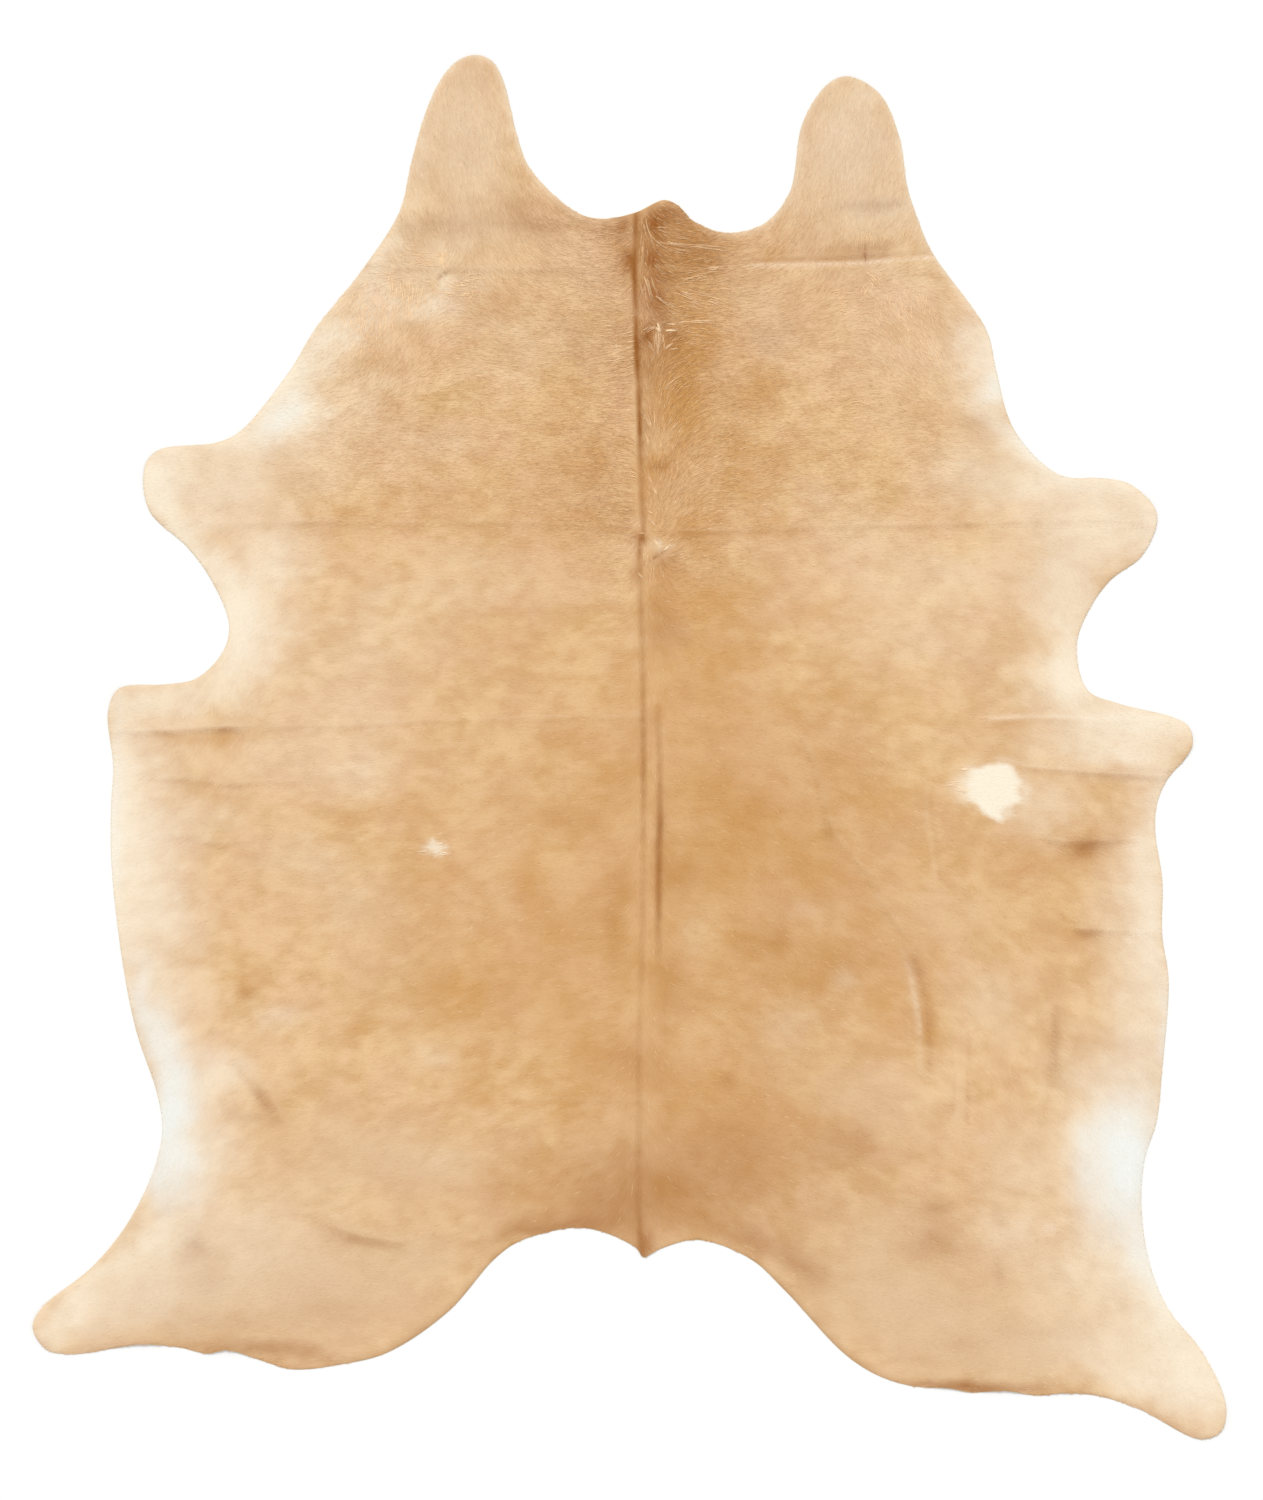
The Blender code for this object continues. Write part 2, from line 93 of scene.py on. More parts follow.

# Folds and creases. Each mark of a route is x, y and how brown the line is there. A swell of the leather
# runs beside a groove, and they are as high and as deep as said. The lean is how far the swell stands to
# the left of the groove, seen along the route, or to its right where it is negative. The reach is the
# swell's half width, the width that of the brown line, and the lip how pale a thin line just past it is. The
# brown line is partly darker hair where the coat parts and partly painted shade in the fold; the pale lip is
# a painted highlight along the swell.
Crease = namedtuple("Crease", "route swell groove lean reach width lip")
CREASES = {
    "spine_neck": Crease((
        (12, 868, 0.5), (10, 835, 0.6), (9, 795, 0.75), (8, 746, 0.95), (10, 697, 0.6), (11, 648, 1.1),
        (13, 599, 1.0), (15, 577, 0.65), (16, 531, 0.9), (17, 485, 0.75), (18, 440, 0.4), (20, 394, 0.45),
        (22, 348, 0.45), (22, 318, 0.3),
    ), 1.3, 0.8, 0, 26, 4.8, 0.0),
    "spine_back": Crease((
        (18, 330, 0.26), (17, 274, 0.3), (20, 163, 0.3), (22, 52, 0.34), (22, -60, 0.45), (22, -171, 0.13),
        (21, -283, 0.17), (18, -394, 0.14), (15, -505, 0.12), (16, -564, 0.12), (15, -613, 0.17),
        (15, -661, 0.14), (15, -709, 0.14), (16, -758, 0.35), (21, -830, 0.43),
    ), 1.5, 0.7, 0, 30, 5.0, 0.0),
    "spine_second": Crease((
        (45, 75, 0.09), (46, 34, 0.19), (48, -19, 0.22), (48, -71, 0.3), (48, -124, 0.48), (47, -176, 0.43),
        (47, -229, 0.43), (46, -281, 0.28), (46, -345, 0.04),
    ), 0.4, 0.5, 0, 14, 5.0, 0.0),
    "whorl_fold": Crease((
        (70, 326, 0.3), (55, 311, 0.42), (40, 301, 0.45), (26, 292, 0.3),
    ), 0.6, 0.4, 4, 6, 2.6, 0.3),
    "neck_upper_left": Crease((
        (-390, 822, 0.04), (-315, 828, 0.09), (-265, 832, 0.06), (-165, 827, 0.07), (-90, 826, 0.04),
    ), 0.9, 0.3, 8, 18, 10.0, 0.0),
    "neck_upper_right": Crease((
        (290, 852, 0.03), (365, 860, 0.09), (415, 861, 0.1), (490, 860, 0.05),
    ), 1.2, 0.5, 10, 20, 11.0, 0.0),
    "neck_left": Crease((
        (-430, 763, 0.07), (-400, 760, 0.11), (-346, 757, 0.09), (-289, 756, 0.14), (-233, 755, 0.14),
        (-177, 754, 0.13), (-121, 755, 0.17), (-70, 757, 0.09),
    ), 1.4, 0.6, 9, 16, 5.5, 0.1),
    "neck_right": Crease((
        (185, 772, 0.09), (201, 773, 0.26), (257, 774, 0.23), (313, 775, 0.26), (369, 777, 0.35),
        (426, 782, 0.22), (505, 787, 0.07),
    ), 1.6, 0.7, -8, 16, 4.2, 0.7),
    "neck_right_inner": Crease((
        (80, 768, 0.03), (144, 770, 0.07), (190, 772, 0.07),
    ), 0.8, 0.4, -8, 16, 5.0, 0.1),
    "whorl_crack_right": Crease((
        (374, 806, 0.26), (375, 785, 0.52), (374, 762, 0.48),
    ), 0.1, 0.5, 0, 8, 2.2, 0.0),
    "whorl_crack_left": Crease((
        (-312, 736, 0.43), (-300, 748, 0.78), (-282, 758, 0.7),
    ), 0.1, 0.5, 0, 8, 3.0, 0.0),
    "whorl_crack_above": Crease((
        (-300, 757, 0.26), (-309, 766, 0.13), (-320, 777, 0.09),
    ), 0.1, 0.2, 0, 8, 2.2, 0.0),
    "shoulder_left": Crease((
        (-740, 350, 0.02), (-601, 350, 0.09), (-509, 352, 0.1), (-416, 352, 0.1), (-324, 350, 0.04),
        (-231, 352, 0.04), (-139, 350, 0.07), (0, 343, 0.09),
    ), 1.1, 0.4, 8, 16, 6.5, 0.08),
    "shoulder_right": Crease((
        (60, 338, 0.13), (103, 339, 0.22), (187, 339, 0.09), (272, 344, 0.08), (357, 347, 0.08),
        (442, 349, 0.1), (527, 350, 0.1), (612, 353, 0.06), (690, 354, 0.06), (745, 356, 0.1),
        (830, 352, 0.03),
    ), 1.1, 0.4, 8, 16, 5.0, 0.08),
    "back_left_inner": Crease((
        (-660, 27, 0.09), (-558, 28, 0.12), (-451, 29, 0.07), (-344, 35, 0.04), (-237, 38, 0.04),
        (-130, 41, 0.06), (-23, 42, 0.07), (50, 43, 0.04),
    ), 0.8, 0.4, 8, 18, 5.6, 0.1),
    "back_left": Crease((
        (-850, 19, 0.07), (-825, 20, 0.13), (-775, 21, 0.18), (-725, 23, 0.2), (-675, 26, 0.26),
        (-640, 27, 0.33), (-626, 27, 0.3), (-618, 27, 0.09), (-600, 27, 0.04),
    ), 1.0, 0.25, 9, 16, 4.8, 0.25),
    "back_right": Crease((
        (562, 38, 0.03), (590, 39, 0.05), (627, 41, 0.05), (679, 41, 0.05), (731, 39, 0.04),
        (860, 38, 0.03),
    ), 1.1, 0.15, 8, 14, 4.6, 0.6),
    "knee_right": Crease((
        (615, -34, 0.06), (644, -37, 0.1), (692, -41, 0.14), (740, -45, 0.2), (788, -48, 0.32),
        (836, -51, 0.27), (870, -53, 0.15),
    ), 1.5, 0.35, 10, 15, 4.6, 0.3),
    "flank_left": Crease((
        (-775, -52, 0.06), (-739, -52, 0.14), (-686, -56, 0.07), (-633, -62, 0.15), (-580, -59, 0.06),
        (-500, -60, 0.02),
    ), 0.8, 0.35, 8, 14, 4.0, 0.1),
    "belly_left": Crease((
        (-775, -145, 0.04), (-703, -146, 0.09), (-658, -157, 0.14), (-613, -155, 0.1), (-570, -154, 0.03),
    ), 0.9, 0.4, 7, 14, 5.0, 0.05),
    "belly_right": Crease((
        (650, -150, 0.09), (673, -153, 0.14), (720, -156, 0.26), (767, -154, 0.17), (800, -152, 0.04),
    ), 1.1, 0.4, 9, 16, 5.6, 0.1),
    "belly_right_low": Crease((
        (700, -292, 0.12), (728, -295, 0.2), (785, -298, 0.09), (870, -302, 0.03),
    ), 1.1, 0.4, 8, 15, 5.2, 0.15),
    "side_right": Crease((
        (268, 25, 0.02), (290, -35, 0.06), (318, -130, 0.11), (346, -172, 0.09), (376, -209, 0.1),
        (419, -281, 0.1), (440, -312, 0.06),
    ), 1.0, 0.3, 10, 18, 7.0, 0.08),
    "side_right_outer": Crease((
        (477, -60, 0.03), (482, -120, 0.07), (490, -175, 0.08), (495, -225, 0.03),
    ), 0.7, 0.3, -7, 13, 5.0, 0.08),
    "haunch_right_dent": Crease((
        (446, -312, 0.08), (455, -341, 0.15), (466, -388, 0.14), (474, -436, 0.165), (475, -485, 0.165),
        (477, -525, 0.06),
    ), 1.8, 0.5, -12, 18, 11.0, 0.26),
    "haunch_right_inner": Crease((
        (510, -470, 0.04), (515, -540, 0.07), (512, -600, 0.04),
    ), 0.7, 0.3, 6, 10, 5.0, 0.08),
    "haunch_right_mid": Crease((
        (541, -445, 0.04), (539, -500, 0.09), (538, -560, 0.09), (534, -615, 0.04),
    ), 0.8, 0.4, -8, 14, 5.0, 0.08),
    "haunch_right_outer": Crease((
        (671, -400, 0.07), (673, -433, 0.14), (671, -490, 0.17), (665, -547, 0.14), (660, -590, 0.05),
    ), 1.5, 0.6, -8, 20, 8.5, 0.1),
    "haunch_left_dent": Crease((
        (-636, -490, 0.08), (-612, -522, 0.16), (-577, -567, 0.12), (-556, -592, 0.04),
    ), 1.5, 0.5, 8, 20, 9.0, 0.1),
    "thigh_left": Crease((
        (-505, -752, 0.03), (-477, -764, 0.07), (-432, -781, 0.21), (-384, -790, 0.14), (-350, -793, 0.04),
    ), 1.5, 0.6, 8, 18, 6.5, 0.1),
    "rump": Crease((
        (-200, -563, 0.02), (-75, -568, 0.05), (40, -565, 0.03),
    ), 0.7, 0.2, 6, 16, 6.0, 0.05),
}
CREASE_COMBED = 0.17  # how brown a crease is somewhere, at least, for its hair to be combed along it
CREASE_BORDER = 3  # times its reach, past which a crease does nothing
GROOVE_SHARE = 0.35  # how wide a crease's groove is, against its swell
FADE_LENGTH = 18  # over which each end of a crease fades out
LIP_GAP = 2.5  # between the brown line and the middle of its pale lip
LIP_WIDTH = 2.6
LINE_CLOUDS = ((38, 5), (13, 6))  # the sizes and seeds of the clouds that make the brown lines uneven
LINE_UNEVENNESS = 0.25

# Long, gentle waves of the leather between the folds: length across, heading and height
Wave = namedtuple("Wave", "length heading height")
WAVES = (
    Wave(430, 20, 0.35),
    Wave(310, 105, 0.30),
    Wave(190, 62, 0.22),
    Wave(140, 150, 0.16),
    Wave(95, 5, 0.10),
)

# Places where the cut edge curls off the ground: how high, and how far that reaches
Lift = namedtuple("Lift", "x y rise reach")
LIFTS = {
    "sole_left": Lift(-775, -950, 4.5, 62),
    "heel_left": Lift(-641, -959, 4.5, 60),
    "hem_right": Lift(597, -1024, 4.5, 52),
    "hem_right_small": Lift(508, -1020, 3.5, 42),
    "hem_right_outer": Lift(689, -1028, 2.5, 46),
    "foot_left": Lift(-949, -923, 3.5, 72),
    "foot_right": Lift(945, -1075, 3.5, 72),
    "foreleg_left": Lift(-770, 430, 3.0, 74),
    "foreleg_right": Lift(839, 371, 3.0, 74),
    "knee_left": Lift(-829, 80, 3.5, 66),
    "knee_right": Lift(896, 5, 3.5, 60),
    "neck_left": Lift(-250, 1101, 2.5, 84),
    "neck_right": Lift(348, 1067, 2.5, 84),
    "tail": Lift(22, -812, 2.0, 44),
}

# The lie of the coat. It runs outward from the spine and a little back, and bends round these places. Each
# has how far its bend reaches along X and Y, the heading there, and how strongly it pulls.
SPINE_X = 0.018  # where outward changes from left to right, in metres, and over what width
SPINE_WIDTH = 0.02
OUTWARD_LEFT = 187
OUTWARD_RIGHT = -7
Lie = namedtuple("Lie", "x y reach_x reach_y heading strength")
LIES = {
    "poll_by_line": Lie(20, 780, 14, 110, -90, 9),
    "poll_turning": Lie(50, 780, 16, 100, -38, 3),
    "poll_left": Lie(-10, 840, 40, 40, 200, 1),
    "fountain": Lie(46, 640, 11, 22, 92, 6),
    "fountain_left": Lie(30, 640, 12, 20, 140, 4),
    "fountain_right": Lie(64, 642, 12, 20, 38, 4),
    "strip_left": Lie(30, 470, 12, 125, 110, 7),
    "strip_middle": Lie(50, 470, 12, 125, 91, 5),
    "strip_right": Lie(76, 465, 22, 120, 62, 4),
    "strip_far_right": Lie(112, 450, 26, 90, 35, 1.5),
    "strip_outer_left": Lie(-6, 440, 18, 60, 158, 2),
    "whorl_down": Lie(38, 285, 18, 30, -92, 4),
    "strip_back": Lie(30, 60, 17, 260, -90, 8),
    "strip_loin": Lie(30, -330, 22, 200, -90, 5),
    "strip_rump": Lie(18, -680, 30, 160, -90, 4),
    "rump_left": Lie(-110, -720, 120, 90, 222, 1.5),
    "rump_right": Lie(140, -730, 130, 90, -42, 1.5),
    "neck_lobe_left": Lie(-265, 960, 120, 170, 93, 8),
    "neck_lobe_right": Lie(355, 950, 120, 160, 87, 8),
    "neck_edge_left": Lie(-390, 760, 80, 60, 130, 2),
    "neck_edge_right": Lie(470, 760, 80, 60, 50, 2),
    "shoulder_left": Lie(-385, 685, 80, 80, -92, 5),
    "shoulder_right": Lie(450, 685, 62, 80, -80, 4),
    "shoulder_edge_left": Lie(-500, 610, 90, 90, 215, 2),
    "shoulder_edge_right": Lie(560, 610, 80, 90, -40, 2),
    "elbow_left": Lie(-630, 200, 70, 110, -105, 3),
    "elbow_right": Lie(700, 170, 70, 110, -75, 3),
    "belly_left": Lie(-660, 40, 60, 90, -95, 3),
    "belly_low_left": Lie(-740, -350, 90, 300, 232, 1.6),
    "belly_low_right": Lie(790, -350, 90, 300, -50, 1.6),
    "side_left": Lie(-330, -400, 190, 220, 222, 0.8),
    "side_right": Lie(330, -260, 190, 260, -48, 1.6),
    "flank_low_right": Lie(580, -470, 100, 150, -75, 2.0),
    "groin_left": Lie(-720, -600, 90, 130, -100, 3),
    "groin_right": Lie(790, -640, 90, 140, -82, 3),
    "hind_left": Lie(-760, -850, 170, 90, 214, 4),
    "hind_right": Lie(830, -950, 130, 130, -48, 4),
    "haunch_left": Lie(-450, -700, 180, 130, 208, 1.5),
    "haunch_right": Lie(500, -720, 180, 130, -30, 1.5),
}

# The two whorls on the sides of the neck, from which the hair points outward, turned by the twist
Whorl = namedtuple("Whorl", "x y reach twist strength")
WHORLS = {
    "neck_left": Whorl(-301, 750, 34, -25, 6),
    "neck_right": Whorl(377, 762, 30, 20, 5),
}

# How loose and uneven the coat is, from 0 to 1: sleek behind, looser on the neck, which starts at this Y,
# and most along its crest
SLEEK = 0.06
NECK_SHAGGINESS = 0.36
NECK_START = 240
NECK_FADE = 260
NECK_HALF_WIDTH = 580
NECK_SIDE_FADE = 160
CREST_SHAGGINESS = 0.58
CREST_X = 45
CREST_REACH = 110
CREST_START = 150
CREST_FADE = 250

# The layers of the coat, from the skin up: the gap between roots, a lock's length, width and the rise of its
# tip, all in millimetres, how far headings stray, in degrees, how much paler the layer is than the dyes, how
# bleached its hair is, the share of its locks that is left out where the coat is sleek, and its seed
Layer = namedtuple("Layer", "gap length width rise stray tone bleached sparse seed")
LAYERS = {
    "coat_under": Layer(8.2, 14, 3.6, 0.4, 10, -0.4, 0.0, 0.0, 21),
    "coat_middle": Layer(8.2, 16, 3.0, 0.7, 10, 0.0, 0.0, 0.0, 22),
    "coat_upper": Layer(8.2, 17, 2.4, 1.0, 10, 0.1, 0.0, 0.0, 23),
    "coat_guard": Layer(9.4, 16, 1.7, 1.2, 12, 0.4, 0.0, 0.0, 24),
    # The flecks are partly bleached hair and partly painted glints of light on glossy clumps: pale locks in
    # place of sheen
    "coat_flecks_and_glints": Layer(8.6, 13, 1.3, 1.5, 12, 1.4, 0.6, 0.93, 26),
}
ROOT_DEPTH = 0.0012  # that a lock's root lies inside the cut edge, at least, in metres
MOST_OVERHANG = 1.2  # how far a tip may hang past the cut edge
SHORTENING = 0.66  # times its length, for a lock that hangs past the edge or over a parting
SHORTENINGS = 6  # tries at most
PARTING = 0.5  # how near a crease the coat parts, from 0 far off to 1 on it; only combed hair lies there
SPARSE_FILL = 1.6  # how fast a sparse layer fills as the coat grows shaggy
# A sleek coat has the first value of each pair, and a shaggier one adds the second times its shagginess
SLEEK_RISE = 0.12  # times a lock's rise
SHAGGY_RISE = 1.45
SLEEK_CONTRAST = 0.1  # between one lock's tone and the next
SHAGGY_CONTRAST = 1.25
SLEEK_TONE = 0.4  # times a layer's own tone
SHAGGY_TONE = 1.2
MOST_TONE = 4.0  # the palest lock's; 0 is the dyes' own tone, and the material's darkest is minus this

# A lock of hair, and between what shares of its measures one lock differs from the next
SIZE_VARIETY = (0.7, 1.3)
RISE_VARIETY = (0.5, 1.5)
BLEACH_VARIETY = (0.2, 1)
LOCK_SINK = 0.25  # how far a lock's root is set into the sheet's top
LOCK_RIDGE = 0.1  # how high its ridge stands over its root and its underside, at least
RIDGE_PLACE = 0.22  # where along the lock the ridge is highest
RIDGE_RISE = 0.25  # times the tip's rise, for the ridge's
RISE_AT_EDGE = 0.3  # times the tip's rise, for a tip at the cut edge
TIP_DYE_PLACE = 0.6  # how far along the lock its tip's dyes are taken
LOCK_CORNERS = 4  # left and right of the root, the ridge and the tip
LOCK_ON_MAP = ((0.2, 0.15), (0.8, 0.15), (0.5, 0.3), (0.5, 0.85))  # its corners in its cell of the map

# Short hair combed along the deeper creases, in metres where no word says otherwise
COMB_SEED = 27
COMB_STEP = 0.0042  # from one root to the next along the crease
COMB_REACH = 1.1  # on each side of the groove, in widths of the brown line
COMB_END = 1.11  # just past that, so that its last row counts
COMB_ROW = 1.5  # from one row to the next, in millimetres
COMB_SCATTER = 0.0008
COMB_DEPTH = 0.002  # that its roots lie inside the cut edge
COMB_STRAY = 9  # degrees
COMB_LENGTH = 0.009
COMB_HALF_WIDTH = 0.0009
COMB_RISE = 0.0003
COMB_CONTRAST = 0.5  # between one lock's tone and the next

# Wisps of long pale hair: where they root, their heading and how it varies, their length, how far they curl
# to the left along it, how many hairs they have, how far the roots scatter, and how white they are
Wisp = namedtuple("Wisp", "x y heading vary length curl count scatter_x scatter_y white")
WISPS = (
    Wisp(46, 664, 90, 110, 6, 0, 26, 2, 2, 0.6),
    Wisp(46, 664, 92, 12, 12, 0, 10, 1.2, 1.5, 0.6),
    Wisp(41, 667, 190, 9, 17, 12, 9, 2, 2, 0.3),
    Wisp(30, 668, 205, 9, 13, 5, 5, 3, 2, 0.25),
    Wisp(57, 662, 2, 5, 21, 0, 10, 2, 1.2, 0.6),
    Wisp(-362, 728, -91, 6, 20, 0, 46, 34, 26, 0.34),
    Wisp(-420, 690, -70, 8, 17, -10, 34, 26, 22, 0.3),
    Wisp(-300, 776, -80, 6, 22, 30, 3, 2, 3, 0.6),
    Wisp(-297, 768, -86, 5, 12, 30, 2, 1, 3, 0.5),
    Wisp(-262, 740, 32, 9, 22, -40, 14, 9, 9, 0.34),
    Wisp(-268, 722, 8, 9, 22, -16, 20, 18, 9, 0.34),
    Wisp(-330, 772, 8, 10, 18, 0, 12, 22, 8, 0.22),
    Wisp(-345, 792, -8, 10, 14, 0, 12, 16, 9, 0.2),
    Wisp(-280, 735, -12, 14, 15, 0, 8, 9, 5, 0.35),
    Wisp(-315, 735, -60, 9, 18, 20, 10, 7, 10, 0.34),
    Wisp(384, 748, -52, 9, 14, 0, 7, 5, 4, 0.4),
    Wisp(376, 729, -108, 8, 13, 0, 6, 5, 6, 0.35),
    Wisp(384, 812, -84, 8, 13, 0, 9, 9, 8, 0.2),
    Wisp(345, 724, 182, 8, 14, 0, 12, 16, 8, 0.22),
    Wisp(350, 698, 178, 8, 12, 0, 14, 26, 8, 0.18),
    Wisp(440, 668, -62, 9, 16, 10, 28, 22, 20, 0.32),
    Wisp(400, 705, -50, 9, 13, 0, 16, 22, 14, 0.2),
    Wisp(470, 610, -40, 10, 11, 0, 16, 18, 22, 0.2),
    Wisp(350, 545, 10, 9, 14, 0, 26, 42, 16, 0.22),
    Wisp(215, 440, 22, 10, 13, 0, 26, 36, 32, 0.26),
    Wisp(215, 500, 10, 10, 13, 0, 18, 36, 18, 0.2),
    Wisp(-285, 620, -12, 12, 14, 0, 36, 50, 30, 0.2),
    Wisp(-190, 610, 190, 10, 14, 0, 30, 50, 40, 0.18),
    Wisp(-220, 520, 187, 10, 13, 0, 40, 70, 50, 0.18),
    Wisp(-420, 640, -20, 12, 13, 0, 22, 22, 18, 0.24),
    Wisp(62, 672, 8, 7, 12, -8, 7, 2, 1, 0.45),
    Wisp(77, 675, 6, 6, 16, 0, 7, 2, 1, 0.45),
    Wisp(47, 657, -90, 3, 34, 0, 4, 1.5, 3, 0.4),
    Wisp(43, 655, -112, 5, 28, 28, 3, 1.5, 3, 0.34),
    Wisp(52, 655, -66, 5, 28, -28, 3, 1.5, 3, 0.34),
    Wisp(68, 640, 198, 5, 17, 30, 6, 2, 2, 0.42),
    Wisp(76, 633, 186, 6, 16, 6, 4, 2, 1, 0.22),
    Wisp(30, 641, -25, 5, 20, -36, 3, 2, 3, 0.3),
    Wisp(27, 829, -72, 1, 128, 66, 2, 1.5, 2, 0.2),
    Wisp(40, 804, -14, 2, 84, 6, 2, 2, 2, 0.2),
    Wisp(60, 801, -8, 4, 60, 1, 5, 8, 2, 0.2),
    Wisp(104, 796, -7, 4, 58, -2, 5, 10, 2, 0.22),
    Wisp(26, 836, -84, 4, 46, 20, 3, 2, 6, 0.22),
    Wisp(44, 825, -20, 9, 22, 12, 5, 3, 2, 0.2),
    Wisp(76, 812, -6, 9, 24, 5, 4, 4, 3, 0.18),
    Wisp(74, 791, -10, 5, 26, 4, 5, 3, 2, 0.2),
    Wisp(24, 748, -72, 7, 42, -8, 7, 3, 5, 0.25),
    Wisp(33, 742, -78, 7, 36, 8, 5, 3, 5, 0.2),
    Wisp(20, 800, -88, 5, 30, 0, 10, 2, 30, 0.12),
    Wisp(84, 742, 12, 9, 34, 2, 9, 10, 6, 0.26),
    Wisp(112, 748, 22, 9, 24, -18, 6, 7, 5, 0.26),
    Wisp(126, 759, 8, 9, 20, -4, 9, 6, 3, 0.38),
    Wisp(78, 724, -30, 9, 30, 14, 10, 7, 7, 0.28),
    Wisp(104, 728, -14, 7, 24, 0, 7, 6, 6, 0.2),
    Wisp(95, 708, -20, 9, 22, 0, 12, 12, 9, 0.3),
    Wisp(126, 712, -18, 9, 24, 4, 8, 8, 5, 0.28),
    Wisp(100, 676, 4, 7, 40, -4, 10, 12, 3, 0.36),
    Wisp(150, 735, -8, 10, 14, 0, 12, 22, 16, 0.18),
    Wisp(150, 680, -12, 10, 13, 0, 16, 26, 18, 0.2),
    Wisp(100, 655, -18, 9, 20, 0, 8, 12, 12, 0.2),
    Wisp(45, 716, -56, 6, 32, 34, 5, 2, 3, 0.25),
    Wisp(6, 640, 197, 8, 16, -6, 26, 3, 34, 0.3),
    Wisp(-14, 622, 192, 8, 15, 0, 20, 8, 18, 0.34),
    Wisp(-30, 650, 188, 8, 13, 0, 16, 14, 22, 0.22),
    Wisp(-30, 800, 183, 8, 16, 0, 9, 22, 16, 0.18),
    Wisp(-60, 735, 183, 8, 14, 0, 14, 34, 40, 0.16),
    Wisp(-70, 690, 185, 9, 13, 0, 14, 34, 26, 0.16),
    Wisp(60, 565, 55, 9, 44, -30, 9, 5, 9, 0.14),
    Wisp(33, 511, 108, 6, 26, 6, 6, 3, 3, 0.2),
    Wisp(31, 480, 106, 6, 21, 4, 6, 2, 3, 0.2),
    Wisp(40, 515, 90, 5, 25, 0, 6, 2, 3, 0.15),
    Wisp(35, 421, 116, 6, 13, 6, 5, 2, 2, 0.2),
    Wisp(43, 402, 112, 6, 15, 6, 6, 2, 2, 0.2),
    Wisp(38, 371, 140, 8, 11, 8, 5, 2, 2, 0.2),
    Wisp(42, 352, 130, 6, 20, 8, 7, 2, 2, 0.26),
    Wisp(66, 505, 60, 6, 15, -6, 5, 2, 2, 0.2),
    Wisp(63, 514, 68, 6, 12, -6, 4, 2, 2, 0.15),
    Wisp(94, 439, 52, 7, 18, -14, 6, 3, 2, 0.22),
    Wisp(100, 430, 36, 7, 22, -10, 6, 3, 2, 0.18),
    Wisp(85, 369, 43, 7, 18, -10, 5, 3, 2, 0.18),
    Wisp(69, 384, 66, 7, 18, -10, 6, 3, 3, 0.15),
    Wisp(58, 420, 80, 7, 24, -12, 12, 8, 26, 0.11),
    Wisp(12, 427, 138, 7, 28, 44, 8, 3, 5, 0.15),
    Wisp(-8, 455, 178, 6, 22, 6, 4, 3, 2, 0.2),
    Wisp(-4, 532, 166, 6, 15, 10, 4, 2, 2, 0.2),
    Wisp(55, 315, 26, 6, 13, 8, 12, 1.2, 2, 0.6),
    Wisp(50, 319, -40, 8, 8, -10, 3, 3, 2, 0.3),
    Wisp(46, 321, 128, 7, 11, 4, 12, 2, 1.5, 0.6),
    Wisp(24, 340, 172, 7, 9, 10, 4, 1, 1, 0.33),
    Wisp(37, 284, -92, 6, 20, 0, 6, 3, 4, 0.15),
    Wisp(21, 270, 130, 7, 13, 10, 6, 2, 2, 0.22),
    Wisp(520, -56, 184, 7, 16, 0, 7, 4, 3, 0.9),
    Wisp(538, -34, 172, 7, 14, 6, 6, 4, 3, 0.9),
    Wisp(538, -72, 152, 6, 26, 14, 6, 3, 2, 0.9),
    Wisp(-322, -166, 184, 5, 16, 0, 4, 2, 2, 0.95),
    Wisp(-300, -168, -6, 5, 18, 2, 4, 2, 2, 0.95),
    Wisp(-304, -154, 4, 5, 12, 4, 3, 1, 1, 0.95),
    Wisp(-298, 764, 92, 8, 16, 0, 14, 3, 5, 0.45),
    Wisp(-296, 778, 86, 10, 12, 0, 8, 5, 5, 0.25),
    Wisp(-325, 772, 165, 12, 14, 0, 10, 14, 8, 0.25),
    Wisp(-288, 735, -30, 12, 14, 10, 10, 8, 6, 0.3),
    Wisp(-292, 722, -15, 12, 14, 10, 8, 8, 5, 0.3),
    Wisp(-345, 722, -92, 8, 18, 0, 28, 22, 16, 0.38),
    Wisp(-385, 690, -90, 8, 18, 0, 34, 32, 34, 0.36),
    Wisp(-425, 650, -96, 10, 14, 0, 24, 34, 30, 0.3),
    Wisp(-258, 712, 50, 12, 16, 30, 12, 12, 10, 0.25),
    Wisp(381, 754, -48, 10, 14, 0, 9, 3, 3, 0.4),
    Wisp(390, 744, -58, 12, 14, 0, 8, 6, 6, 0.3),
    Wisp(376, 730, -120, 12, 12, 0, 8, 4, 6, 0.3),
    Wisp(345, 716, 186, 12, 13, 0, 10, 16, 8, 0.25),
    Wisp(375, 803, 88, 14, 11, 0, 10, 10, 5, 0.25),
    Wisp(440, 700, -82, 10, 17, 0, 40, 34, 40, 0.34),
    Wisp(470, 640, -75, 10, 16, 0, 26, 26, 30, 0.32),
)
WISP_SEED = 25
WISP_SPREAD = 0.7  # how widely a wisp's hairs vary within its own measures
WISP_LENGTH_VARIETY = (0.7, 1.15)
WISP_DYE = 0.6  # how much of the coat's dyes a wisp has
WISP_BLEACH = 1.6  # how bleached a wisp is, times its whiteness
WISP_WHITE_START = 0.6  # the whiteness from which a wisp has the white spots' dye as well
HAIR_WIDTH = 0.7  # of a wisp's hairs at their root, each of which stands for a few real ones, in millimetres
HAIR_TAPER = 0.85  # the share of that width lost at the tip
HAIR_RISE = 1.3  # how far a wisp stands off the sheet at the middle of its length
HAIR_RISE_VARIETY = (0.8, 1.6)
HAIR_END_RISE = 0.35  # times that, for its ends
HAIR_ARCH = 0.7  # how pointed its arch is: 1 is a half wave, and less is fuller
HAIR_RINGS = 6
HAIR_SECTION = ((1, 0), (0, 0.5), (-1, 0))  # to the left and up, in half widths
HAIR_MAP_SIDE = 0.2  # of its cell of the map, left free on each side of it, and at each end
HAIR_MAP_END = 0.1
